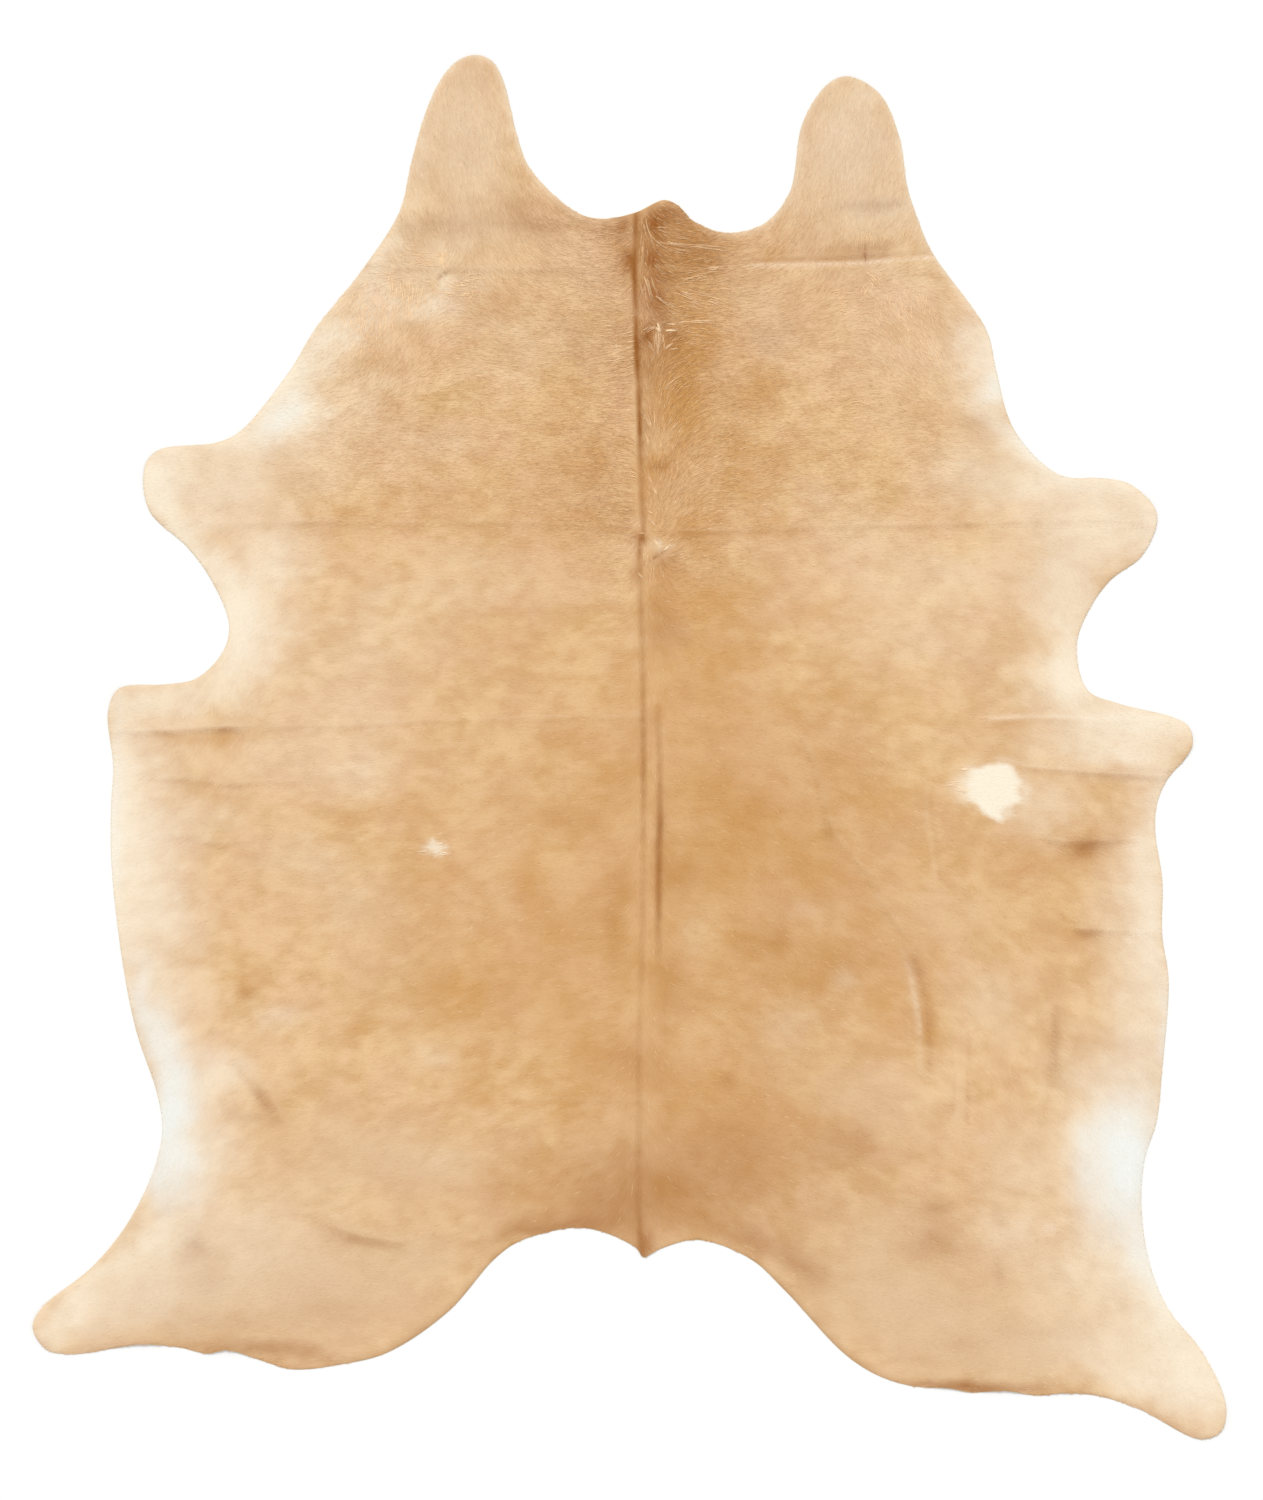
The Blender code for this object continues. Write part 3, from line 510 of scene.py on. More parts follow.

# The coat's own colour, clouded from golden tan to a paler tan, and each dye's colour, in the order in which
# they cover each other. The crease line is partly painted shade, the crease lip a painted highlight, and the
# umber also carries painted shade at the hems, at edges that face the tail and in some folds.
GOLDEN_TAN = "#D7AC72"
PALE_TAN = "#EDC996"
DYES = {
    "rosy": "#DEB08E",
    "dusty": "#DEBC96",
    "gold": "#C98F44",
    # A painted highlight on the lip of each fold
    "crease_lip": "#F6DABB",
    # Brown hair, which also carries painted shade at the hems, at edges that face the tail and in some folds
    "umber_and_painted_shade": "#A05D12",
    # Brown of the creases: partly darker parted hair, partly painted shade in the folds
    "crease_line": "#9A5B10",
    "cream": "#FBEED7",
    "chalk": "#F1F3EE",
    "bleached": "#F8DCB2",
    "white_spot": "#FAEED7",
}

# Where the dyes lie, each in soft patches: x, y, half width, half height, turn of the patch, and strength
PATCHES = {
    "dusty": (
        (-265, 960, 80, 150, 0, 0.7), (-250, 820, 120, 46, 0, 0.5), (350, 950, 90, 130, 0, 0.7),
        (350, 840, 110, 40, 0, 0.4), (-260, 300, 60, 20, 0, 0.4), (-400, 250, 42, 22, 0, 0.4),
        (-60, 760, 80, 50, 0, 0.4), (300, 410, 32, 22, 0, 0.3), (420, 520, 42, 30, 0, 0.4),
        (230, 650, 42, 30, 0, 0.5), (560, 520, 50, 40, 0, 0.4), (700, 260, 70, 60, 0, 0.4),
        (-640, 420, 80, 50, 0, 0.45), (170, 720, 80, 42, 0, 0.4), (-130, 660, 92, 50, 0, 0.3),
        (560, 440, 60, 50, 0, 0.3), (-430, -250, 62, 60, 0, 0.4), (-380, -380, 72, 50, 0, 0.3),
        (500, -270, 92, 40, 0, 0.3), (340, -560, 72, 60, 0, 0.5), (450, -600, 82, 42, 0, 0.4),
        (660, -100, 60, 50, 0, 0.4), (-450, -640, 120, 80, 0, 0.5), (-330, -670, 110, 52, 0, 0.4),
        (230, -500, 50, 60, 0, 0.3), (430, -730, 110, 50, 0, 0.3), (-500, -860, 190, 92, -8, 0.85),
        (-680, -850, 120, 70, 0, 0.4), (-330, -810, 90, 60, 0, 0.6), (-740, -880, 120, 60, 30, 0.85),
        (-780, -860, 90, 50, 30, 0.3), (690, 290, 60, 44, 0, 0.35), (840, -920, 70, 60, 0, 0.3),
        (-560, -920, 150, 50, -8, 0.3), (450, -900, 200, 92, -15, 0.85), (640, -950, 140, 62, 0, 0.6),
        (400, -790, 92, 60, 0, 0.5), (620, -820, 90, 60, 0, 0.3), (-455, 657, 46, 8, 2, 0.5),
        (-460, 603, 50, 8, 0, 0.35), (620, -660, 60, 70, 0, 0.4), (-560, -180, 60, 60, 0, 0.25),
        (560, 0, 90, 60, 0, 0.2), (570, -410, 70, 70, 0, 0.35),
    ),
    "gold": (
        (80, -260, 350, 340, 0, 0.38), (-160, -300, 300, 320, 0, 0.08), (650, -240, 120, 110, 0, 0.2),
        (-60, 450, 62, 52, 0, 0.4), (-90, 345, 62, 26, 0, 0.35), (-430, 370, 92, 34, 0, 0.3),
        (-210, 700, 52, 26, 0, 0.3), (-240, 625, 50, 22, 0, 0.3), (-400, 608, 30, 18, 0, 0.5),
        (-100, 560, 50, 40, 0, 0.3), (-375, 540, 20, 30, 0, 0.55), (-150, 430, 160, 160, 0, 0.15),
        (100, 640, 60, 52, 0, 0.7), (75, 560, 52, 52, 0, 0.8), (100, 515, 50, 40, 0, 0.5),
        (60, 450, 36, 30, 0, 0.6), (185, 440, 60, 62, 0, 0.42), (200, 565, 34, 30, 0, 0.45),
        (100, 345, 80, 30, 0, 0.55), (240, 345, 32, 22, 0, 0.4), (120, 230, 62, 42, 0, 0.55),
        (150, 150, 72, 30, 0, 0.5), (290, 215, 30, 20, 0, 0.35), (170, 30, 82, 42, 0, 0.24),
        (100, 100, 100, 62, 0, 0.35), (60, 260, 40, 60, 0, 0.5), (280, 70, 100, 30, 0, 0.25),
        (600, 25, 60, 22, 0, 0.3), (580, 22, 60, 26, 0, 0.12), (110, -50, 60, 52, 0, 0.35),
        (330, -20, 42, 30, 0, 0.35), (385, -80, 60, 26, 0, 0.45), (430, -105, 30, 16, 0, 0.28),
        (185, -110, 60, 62, 0, 0.5), (250, -80, 120, 100, 0, 0.15), (255, -160, 30, 24, 0, 0.28),
        (450, -185, 34, 24, 0, 0.24), (170, -200, 42, 52, 0, 0.42), (90, -200, 50, 60, 0, 0.35),
        (300, -195, 62, 62, 0, 0.35), (228, -310, 44, 32, -10, 0.42), (330, -345, 100, 40, 18, 0.28),
        (260, -375, 70, 36, 5, 0.28), (430, -310, 46, 30, -35, 0.15), (370, -275, 30, 20, 0, 0.3),
        (405, -400, 17, 38, 0, 0.3), (472, -450, 11, 24, 0, 0.35), (200, -412, 15, 12, 0, 0.3),
        (222, 790, 20, 11, 0, 0.4), (275, -480, 120, 70, 0, 0.12), (-250, -410, 150, 110, 0, 0.12),
        (-150, -680, 100, 40, 0, 0.14), (325, 480, 150, 70, 0, 0.1), (160, -680, 160, 50, 0, 0.15),
        (185, -290, 20, 20, 0, 0.25), (468, -395, 18, 70, -5, 0.3), (728, -297, 30, 9, 0, 0.5),
        (420, -390, 42, 100, 0, 0.25), (60, -380, 50, 80, 0, 0.28), (20, -500, 60, 40, 0, 0.24),
        (150, -530, 60, 42, 0, 0.35), (180, -570, 92, 40, 0, 0.32), (300, -605, 60, 24, -10, 0.32),
        (70, -560, 60, 42, 0, 0.28), (130, -610, 92, 32, 0, 0.35), (60, -690, 42, 36, -30, 0.39),
        (210, -650, 72, 34, 0, 0.28), (600, -170, 82, 52, 0, 0.15), (-152, -200, 26, 50, 0, 0.45),
        (-110, -110, 60, 26, 0, 0.35), (-150, -285, 32, 62, 0, 0.2), (-300, -210, 50, 50, 0, 0.24),
        (-280, -400, 60, 40, 0, 0.32), (-240, -370, 82, 62, 0, 0.24), (-110, -420, 42, 120, 0, 0.2),
        (-80, -500, 32, 62, 0, 0.28), (-20, -260, 30, 90, 0, 0.35), (-100, -280, 40, 40, 0, 0.21),
        (-30, -500, 50, 40, 0, 0.24), (-220, -562, 26, 18, 0, 0.35), (-260, -632, 34, 18, 0, 0.32),
        (-100, -590, 42, 32, 0, 0.35), (-250, -520, 42, 42, 0, 0.24), (-430, -450, 24, 16, 0, 0.24),
        (-350, -90, 92, 30, 0, 0.24), (-460, -115, 26, 24, 0, 0.28), (-350, -10, 52, 22, 0, 0.17),
        (-100, 15, 60, 24, 0, 0.28), (-30, -60, 60, 50, 0, 0.28), (-610, -390, 24, 24, 0, 0.42),
        (-740, -335, 60, 14, 0, 0.24), (-130, -700, 82, 52, 0, 0.21), (700, -160, 100, 42, 0, 0.26),
        (0, 60, 120, 120, 0, 0.15), (-180, 180, 120, 60, 0, 0.15), (-695, -800, 40, 36, 0, 0.3),
        (-700, -690, 50, 50, 0, 0.21), (-650, -690, 16, 60, 0, 0.21), (-560, -700, 60, 40, 0, 0.1),
        (600, -880, 40, 44, 0, 0.1), (740, -465, 60, 22, 0, 0.32), (780, -540, 60, 46, 0, 0.24),
        (-725, 18, 90, 8, 1, 0.5), (-648, 22, 24, 10, 1, 0.72), (790, -57, 32, 8, -3, 0.1),
        (728, -170, 34, 18, 0, 0.42), (-610, 70, 30, 50, 0, 0.12), (-540, 592, 34, 24, 52, 0.45),
        (590, 500, 26, 22, 0, 0.5), (110, 710, 60, 50, 0, 0.4), (80, 790, 70, 60, 0, 0.6),
        (34, 385, 16, 50, 0, 0.35), (100, 430, 40, 50, 0, 0.22), (90, -742, 60, 34, 0, 0.3),
        (21, 775, 6, 80, 0, 0.3), (-20, 790, 26, 60, 0, 0.3),
    ),
    # Umber is brown hair at the poll and elsewhere; the long thin patches along the bottom hems are painted
    # shade at edges that face the tail, and those on the creases are partly painted shade in the folds
    "umber_and_painted_shade": (
        (41, 834, 17, 25, 10, 1.0), (56, 850, 24, 17, 0, 0.65), (78, 838, 20, 14, 0, 0.25),
        (38, 775, 16, 19, 15, 1.0), (52, 748, 24, 10, 0, 0.55), (44, 716, 16, 26, 20, 0.85),
        (-3, 776, 10, 22, 0, 1.0), (-3, 836, 10, 15, 0, 0.7), (27, 652, 11, 16, 0, 1.0),
        (70, 642, 14, 22, 30, 0.3), (68, 655, 11, 6, -30, 0.55), (86, 650, 12, 10, 0, 0.25),
        (32, 600, 13, 34, 0, 0.35), (60, 790, 62, 66, 0, 0.42), (372, 788, 46, 11, 2, 0.42),
        (290, 784, 50, 8, 2, 0.15), (40, 690, 30, 50, 0, 0.3), (125, 785, 60, 26, 0, 0.25),
        (-30, 828, 50, 18, 0, 0.3), (50, 640, 50, 60, 0, 0.3), (-300, 832, 50, 24, 0, 0.25),
        (-150, 838, 60, 22, 0, 0.35), (390, 862, 46, 12, 0, 0.4), (15, 331, 10, 9, 0, 0.9),
        (14, 310, 5, 14, 0, 0.6), (12, 275, 12, 11, 30, 0.4), (50, 444, 14, 7, 0, 0.5),
        (30, 505, 12, 30, 0, 0.25), (-700, -53, 30, 9, 0, 0.2), (-622, -63, 16, 8, 0, 0.2),
        (726, -164, 24, 16, 0, 0.55), (745, -157, 52, 14, 0, 0.23), (728, -297, 26, 7, 0, 0.3),
        (680, -470, 8, 60, 0, 0.35), (452, -350, 9, 36, 25, 0.25), (48, -140, 7, 62, 0, 0.45),
        (49, -240, 6, 36, 0, 0.45), (224, -302, 40, 34, 0, 0.2), (152, -532, 17, 15, 0, 0.3),
        (330, -352, 82, 30, 18, 0.12), (60, -390, 34, 60, 0, 0.2), (20, -505, 50, 34, 0, 0.2),
        (90, -205, 36, 40, 0, 0.2), (315, -130, 9, 18, 24, 0.25), (-590, -590, 42, 11, 0, 0.3),
        (-580, -556, 28, 9, -50, 0.36), (-430, -787, 52, 9, -12, 0.3), (-560, -960, 130, 16, -9, 0.45),
        (-620, -910, 90, 30, 0, 0.1), (-690, -950, 60, 10, 0, 0.2), (540, -1014, 115, 11, -2, 0.75),
        (-692, -798, 30, 26, 0, 0.5), (-672, -850, 22, 14, 0, 0.18), (-650, -905, 60, 16, 0, 0.12),
        (-480, -905, 70, 26, 0, 0.14), (583, -835, 9, 34, 8, 0.2), (560, -700, 26, 16, 0, 0.14),
        (590, -745, 12, 20, 0, 0.16), (520, -950, 40, 14, 0, 0.16), (470, -975, 60, 12, -8, 0.14),
        (640, -930, 60, 10, 0, 0.1), (-610, -394, 17, 13, 0, 0.3), (0, -720, 90, 56, 0, 0.3),
        (60, -700, 260, 80, 0, 0.32), (150, -640, 160, 70, 0, 0.2), (250, -330, 160, 160, 0, 0.07),
        (250, -80, 160, 120, 0, 0.07), (20, -792, 20, 24, 0, 0.7), (-110, -757, 92, 20, 4, 0.5),
        (-190, -780, 40, 18, 25, 0.35), (190, -775, 80, 24, -12, 0.4), (280, -825, 50, 22, -38, 0.4),
        (350, -640, 50, 34, 0, 0.25), (490, -735, 22, 13, 0, 0.35), (480, -792, 42, 34, 0, 0.25),
        (560, 515, 30, 22, 0, 0.25), (60, 200, 26, 40, 0, 0.3), (60, 285, 24, 24, 0, 0.3),
        (-110, -112, 50, 20, 0, 0.12), (230, 655, 36, 24, 0, 0.15), (-95, 640, 22, 26, 0, 0.2),
        (-60, 400, 50, 60, 0, 0.12), (-20, -260, 20, 80, 0, 0.2), (500, -780, 60, 40, 0, 0.12),
        (800, -466, 24, 8, 0, 0.2),
    ),
    "cream": (
        (-260, 970, 110, 170, 0, 0.22), (-335, 960, 14, 130, -6, 0.3), (-390, 790, 26, 60, -30, 0.5),
        (350, 960, 100, 130, 0, 0.3), (264, 960, 11, 80, 0, 0.35), (438, 940, 11, 80, 6, 0.35),
        (380, 1035, 22, 18, 0, 0.3), (474, 800, 16, 50, 25, 0.3), (430, 850, 70, 40, 0, 0.2),
        (430, 720, 90, 60, 0, 0.15), (-545, 585, 110, 46, 52, 0.9), (-530, 520, 50, 46, 0, 0.75),
        (-465, 655, 62, 30, 20, 0.55), (-420, 560, 60, 80, 0, 0.25), (-560, 380, 60, 82, 0, 0.22),
        (-470, 440, 60, 60, 0, 0.12), (-550, 290, 46, 46, 0, 0.5), (-650, 490, 90, 30, 5, 0.8),
        (-752, 420, 62, 72, 0, 0.85), (-640, 410, 80, 60, 0, 0.37), (-690, 310, 120, 30, -55, 0.8),
        (-620, 195, 50, 100, 0, 0.85), (-560, 190, 40, 70, 0, 0.35), (-760, 82, 110, 30, 0, 0.6),
        (-640, 115, 50, 36, 0, 0.3), (-450, 60, 110, 110, 0, 0.15), (-400, 180, 110, 70, 0, 0.12),
        (-822, -150, 46, 205, 0, 1.0), (-770, -150, 72, 180, 0, 0.6), (-680, -115, 72, 34, 0, 0.2),
        (-660, 75, 60, 22, 0, 0.25), (-740, -275, 52, 44, 0, 0.4), (-430, -40, 60, 36, 0, 0.25),
        (-740, -460, 66, 200, 10, 0.5), (-650, -520, 60, 50, 0, 0.5), (-690, -640, 70, 80, 0, 0.5),
        (-770, -790, 70, 60, 35, 0.65), (-845, -838, 60, 18, 42, 0.5), (-890, -905, 100, 52, 35, 0.7),
        (-750, -885, 90, 40, 20, 0.25), (-600, -770, 120, 80, 0, 0.3), (-560, -430, 42, 22, 0, 0.3),
        (-310, -490, 42, 32, 0, 0.2), (-290, -650, 80, 40, 0, 0.15), (-430, -250, 50, 50, 0, 0.08),
        (-290, 715, 56, 36, 0, 0.4), (-375, 718, 80, 46, 0, 0.36), (-300, 785, 60, 24, 0, 0.2),
        (-220, 620, 90, 70, 0, 0.12), (570, -410, 60, 60, 0, 0.14), (830, -920, 70, 50, 0, 0.2),
        (532, -83, 10, 8, 0, 0.5), (-300, 490, 70, 30, 0, 0.15), (-250, 250, 120, 40, 0, 0.12),
        (-560, -20, 80, 50, 0, 0.15), (-500, -180, 60, 40, 0, 0.15), (590, 610, 80, 34, -72, 0.8),
        (575, 575, 36, 36, 0, 0.6), (545, 640, 44, 60, 0, 0.57), (650, 465, 92, 28, -38, 0.85),
        (560, 440, 92, 46, 0, 0.35), (640, 415, 60, 30, 0, 0.4), (770, 420, 92, 32, -5, 0.78),
        (780, -18, 80, 22, -4, 0.6), (-285, 741, 15, 6, 8, 0.4), (-300, 702, 30, 18, 0, 0.15),
        (760, 350, 100, 70, 0, 0.55), (660, 370, 90, 60, 0, 0.25), (500, 270, 150, 50, 0, 0.22),
        (832, 350, 34, 60, 0, 0.6), (700, 230, 60, 80, 0, 0.5), (705, 170, 26, 60, 0, 0.4),
        (700, 115, 72, 50, 0, 0.85), (810, 42, 130, 44, -8, 0.85), (700, 10, 80, 26, 0, 0.2),
        (850, -100, 30, 60, 0, 0.6), (-665, 352, 30, 22, 0, 0.3), (836, -280, 40, 220, 0, 0.75),
        (790, -330, 50, 200, 0, 0.3), (765, -620, 86, 140, 0, 0.65), (850, -870, 60, 110, 30, 0.9),
        (900, -1000, 70, 92, 30, 0.8), (820, -1010, 80, 34, -25, 0.55), (720, -840, 100, 80, 0, 0.35),
        (740, -960, 110, 46, 0, 0.3), (600, -770, 50, 40, 0, 0.3), (660, -100, 60, 46, 0, 0.3),
        (524, -64, 17, 18, 0, 0.6), (539, -40, 12, 9, 30, 0.5), (626, -72, 7, 24, 0, 0.55),
        (600, -21, 20, 5, -5, 0.32), (602, -104, 9, 9, 0, 0.6), (668, -762, 10, 6, 0, 0.3),
        (560, -620, 14, 8, 0, 0.15), (430, 620, 100, 60, 0, 0.12), (350, 350, 80, 60, 0, 0.12),
        (470, 170, 130, 50, 0, 0.15), (44, 326, 3.5, 8, 35, 0.55), (45, 315, 14, 12, 0, 0.22),
        (61, 317, 7, 2, 28, 0.5), (47, 640, 3, 18, 0, 0.15), (46, 664, 3, 4, 0, 0.5),
        (760, 12, 120, 34, 0, 0.35), (610, -680, 60, 60, 0, 0.15), (440, -540, 90, 40, 0, 0.1),
        (262, -445, 36, 44, -30, 0.16), (336, -370, 20, 18, 0, 0.2), (452, -400, 5, 50, 6, 0.22),
        (110, -300, 26, 40, 0, 0.1), (280, -250, 40, 20, 0, 0.08),
    ),
    "chalk": (
        (-725, -575, 36, 120, 8, 0.9), (-765, -430, 24, 90, 14, 0.5), (-740, -680, 28, 60, -15, 0.6),
        (-552, 520, 50, 20, 50, 0.45), (-815, -100, 12, 150, 0, 0.3), (790, -655, 58, 110, 0, 0.98),
        (726, -670, 30, 62, 0, 0.4), (832, -800, 34, 90, 14, 0.6), (640, 472, 60, 10, -40, 0.35),
        (576, 578, 24, 24, 0, 0.4), (852, -450, 12, 72, 0, 0.5),
    ),
}
PATCH_WANDER = 16  # how far a patch's border strays
WANDER_SHARE = 0.6  # the most that is of a small patch's lesser half size
WANDER_SIZE = 55  # of one stray, with smaller ones on it
WANDER_SEEDS = (11, 12)  # along X and along Y
FINE_WANDER_SHARE = 0.45
FINE_WANDER_SIZE = 19
FINE_WANDER_SEEDS = (13, 14)

# The rosy dye has no patches: it lies all over the coat, with clouds of these sizes and seeds
ROSINESS = 0.26
ROSY_CLOUDS = ((90, 15), (32, 16))
ROSY_SHARE = 0.13

# The coat's fine clouds: their height in millimetres, how many times wider they are, their share and seed
MOTTLES = (
    (75, 1.1, 0.2, 31),
    (42, 1.05, 0.28, 32),
    (24, 1.0, 0.36, 33),
    (13, 1.2, 0.44, 34),
    (7, 1.5, 0.38, 35),
)
MOTTLING = 0.95  # how strong they are, and how much more so where the coat is shaggy
SHAGGY_MOTTLING = 0.4
CREAM_MOTTLING = 0.5  # how much the cream hair is clouded as well

# The hair at the cut edge is paler, but not at the poll, where it stays as it is, and where the edge faces
# the tail, away from the key light, it takes brown painted shade instead. The slope is how fast the depth
# inside
# the edge grows towards the neck: 1 at an edge that faces the tail.
RIM_PALENESS = 0.5
RIM_PALE_WIDTH = 9
# How strong the brown painted shade is at edges that face the tail, and how far in it reaches
RIM_PAINTED_SHADE = 0.3
RIM_PAINTED_SHADE_WIDTH = 7
RIM_PROBE = 0.004  # how far to each side the slope is measured, in metres
PAINTED_SHADE_SLOPE = 0.1  # the edge takes brown painted shade from this slope up, and grows pale from the next one down
PALE_SLOPE = 0.5
SLOPE_FADE = 0.6
POLL_X = 0.03  # the poll's middle, how far it reaches to each side, and the Y where it starts, in metres
POLL_REACH = 0.15
POLL_Y = 0.7
POLL_FADE = 0.1

# The two white spots: how white they are, and points round their white hair
Spot = namedtuple("Spot", "whiteness rim")
SPOTS = {
    "flank_right": Spot(1.0, (
        (543, -38), (557, -32), (585, -25), (602, -28), (614, -38), (620, -54), (619, -70), (621, -86),
        (606, -92), (596, -102), (590, -120), (568, -108), (551, -92), (540, -80), (534, -60),
    )),
    "flank_left": Spot(0.72, (
        (-313, -145), (-306, -149), (-300, -146), (-299, -155), (-288, -161), (-299, -164), (-301, -173),
        (-310, -168), (-319, -172), (-318, -163), (-331, -158), (-319, -155),
    )),
}
SPOT_BORDER = 0.009  # how wide a spot's soft border is, in metres
SPOT_WANDER = 0.3  # of the border's width
SPOT_WANDER_SIZE = 9
SPOT_WANDER_SEED = 7

# The photograph's framing: a long lens straight above the hide
FRAME_HEIGHT = 2.385  # what the picture's height covers on the ground, in metres
FRAME_CENTRE = (0.0033, -0.0045)
LENS = 85.0
SENSOR = 36.0

# The patterns of the leather, in metres: streaks of the hair's foot, blots and nap of the flesh side, and
# the fibre of the cut
STREAK_LENGTH = 0.007
STREAK_WIDTH = 0.002
BLOT_SIZE = 0.16
NAP_SIZE = 0.0025
FIBRE_LENGTH = 0.006
FIBRE_THICKNESS = 0.0004

# The studio's floor, its even light from all round and its soft key light
FLOOR_SIZE = 14.0
FLOOR_DROP = 0.0004  # just under the hide, so that the two don't touch
SKY_STRENGTH = 0.68
KEY_STRENGTH = 1.45
KEY_SOFTNESS = 24  # degrees
KEY_FROM = (-0.12, 0.62, 1.0)  # the way to the light from the hide


def smooth_curve(marks, closed, steps):
    """A centripetal Catmull-Rom curve through the marks, as many close points."""
    if closed:
        before, after, last = np.roll(marks, 1, 0), np.roll(marks, -1, 0), np.roll(marks, -2, 0)
        here = marks
    else:
        padded = np.vstack((2 * marks[0] - marks[1], marks, 2 * marks[-1] - marks[-2]))
        before, here, after, last = padded[:-3], padded[1:-2], padded[2:-1], padded[3:]
    knot_1 = np.sqrt(np.linalg.norm(here - before, axis=1))[:, None]
    knot_2 = knot_1 + np.sqrt(np.linalg.norm(after - here, axis=1))[:, None]
    knot_3 = knot_2 + np.sqrt(np.linalg.norm(last - after, axis=1))[:, None]
    columns = []
    for step in range(steps):
        at = knot_1 + (knot_2 - knot_1) * step / steps
        first = ((knot_1 - at) * before + at * here) / knot_1
        second = ((knot_2 - at) * here + (at - knot_1) * after) / (knot_2 - knot_1)
        third = ((knot_3 - at) * after + (at - knot_2) * last) / (knot_3 - knot_2)
        lower = ((knot_2 - at) * first + at * second) / knot_2
        upper = ((knot_3 - at) * second + (at - knot_1) * third) / (knot_3 - knot_1)
        columns.append(((knot_2 - at) * lower + (at - knot_1) * upper) / (knot_2 - knot_1))
    points = np.stack(columns, axis=1).reshape(-1, 2)
    return points if closed else np.vstack((points, marks[-1]))


def way_along(curve):
    """How far along the curve each of its points lies, from 0 at the first."""
    return np.concatenate(([0.0], np.cumsum(np.linalg.norm(np.diff(curve, axis=0), axis=1))))


def evenly_along(curve, step, closed):
    """The curve's points moved to even steps along it."""
    if closed:
        curve = np.vstack((curve, curve[:1]))
    travelled = way_along(curve)
    count = max(2, int(round(travelled[-1] / step)) + 1)
    stops = np.linspace(0, travelled[-1], count)
    points = np.stack([np.interp(stops, travelled, curve[:, axis]) for axis in (0, 1)], axis=1)
    return points[:-1] if closed else points


def left_of(curve, closed):
    """Unit vectors to the left of a curve's way at each of its points."""
    if closed:
        ahead = np.roll(curve, -1, 0) - np.roll(curve, 1, 0)
    else:
        ahead = np.gradient(curve, axis=0)
    ahead /= np.linalg.norm(ahead, axis=1)[:, None]
    return np.stack((-ahead[:, 1], ahead[:, 0]), axis=1)


def soft_step(value):
    """From 0 to 1 as the value does, but with soft ends, and level beyond them."""
    value = np.clip(value, 0, 1)
    return value * value * (3 - 2 * value)


def bell(distance, reach):
    """1 where the distance is 0, falling off evenly on both sides."""
    return np.exp(-((distance / reach) ** 2))


def unit(heading):
    """The unit vector of a heading in degrees."""
    turn = np.radians(heading)
    return np.stack((np.cos(turn), np.sin(turn)), axis=-1)


def turned(way, angle):
    """Vectors turned anticlockwise by angles in radians."""
    cosine, sine = np.cos(angle), np.sin(angle)
    return np.stack((way[:, 0] * cosine - way[:, 1] * sine, way[:, 0] * sine + way[:, 1] * cosine), axis=1)


def between_nodes(grid, at):
    """The grid's values between its nodes, each place given as a node and the shares of a cell past it."""
    corner, (share_x, share_y) = at
    column, row = corner.T
    low = grid[row, column] * (1 - share_x) + grid[row, column + 1] * share_x
    high = grid[row + 1, column] * (1 - share_x) + grid[row + 1, column + 1] * share_x
    return low * (1 - share_y) + high * share_y


def cloud(points, size, seed):
    """Smooth random values from -1 to 1 over the hide, in lumps of about that many millimetres."""
    cell = size * MM
    at = turned(points, np.full(len(points), seed * CLOUD_TURN)) / cell + CLOUD_SPAN / cell + CLOUD_SPARE
    cells = int(2 * CLOUD_SPAN / cell) + 3 * CLOUD_SPARE
    lattice = np.random.default_rng(seed).uniform(-1, 1, (cells, cells))
    corner = np.floor(at).astype(int)
    return between_nodes(lattice, (corner, soft_step(at - corner).T))


def strays(points, size, seeds):
    """Smooth random steps, one for each point, of up to 1 along X and along Y."""
    return np.stack([cloud(points, size, seed) for seed in seeds], axis=1)


def tree_of(places):
    """A search tree that finds the nearest of the places."""
    tree = kdtree.KDTree(len(places))
    for index, place in enumerate(places):
        tree.insert((place[0], place[1], 0), index)
    tree.balance()
    return tree


def cut_edge():
    """The outline of the CAD sheet, anticlockwise, where its upright walls meet its underside."""
    solid = bmesh.new()
    solid.from_mesh(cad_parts[SHEET_NODE].data)
    bmesh.ops.remove_doubles(solid, verts=solid.verts, dist=SAME_PLACE)
    solid.normal_update()
    onward = {}
    for face in solid.faces:
        if face.normal.z > -UPRIGHT:
            continue
        for loop in face.loops:
            beside = [linked for linked in loop.edge.link_faces if linked is not face]
            if abs(beside[0].normal.z) < UPRIGHT:
                onward[loop.vert] = loop.link_loop_next.vert
    start = here = next(iter(onward))
    corners = []
    while here is not start or not corners:
        corners.append(here.co.xy[:])
        here = onward[here]
    solid.free()
    smooth = smooth_curve(np.array(corners)[::-1], closed=True, steps=CURVE_STEPS)
    return evenly_along(smooth, EDGE_STEP, closed=True)


def depth_grid(edge):
    """How deep inside the cut edge each node of an even grid lies, in metres, and the grid's corner."""
    close = evenly_along(edge, FINE_EDGE_STEP, closed=True)
    inward = left_of(close, closed=True)
    tree = tree_of(close)
    low, high = edge.min(0) - DEPTH_MARGIN, edge.max(0) + DEPTH_MARGIN
    columns = np.arange(low[0], high[0] + DEPTH_STEP, DEPTH_STEP)
    rows = np.arange(low[1], high[1] + DEPTH_STEP, DEPTH_STEP)
    depths = np.empty((len(rows), len(columns)))
    for row, y in enumerate(rows):
        for column, x in enumerate(columns):
            _, index, distance = tree.find((x, y, 0))
            side = (x - close[index, 0]) * inward[index, 0] + (y - close[index, 1]) * inward[index, 1]
            depths[row, column] = distance if side > 0 else -distance
    return depths, low


EDGE = cut_edge()
DEPTHS, DEPTHS_CORNER = depth_grid(EDGE)


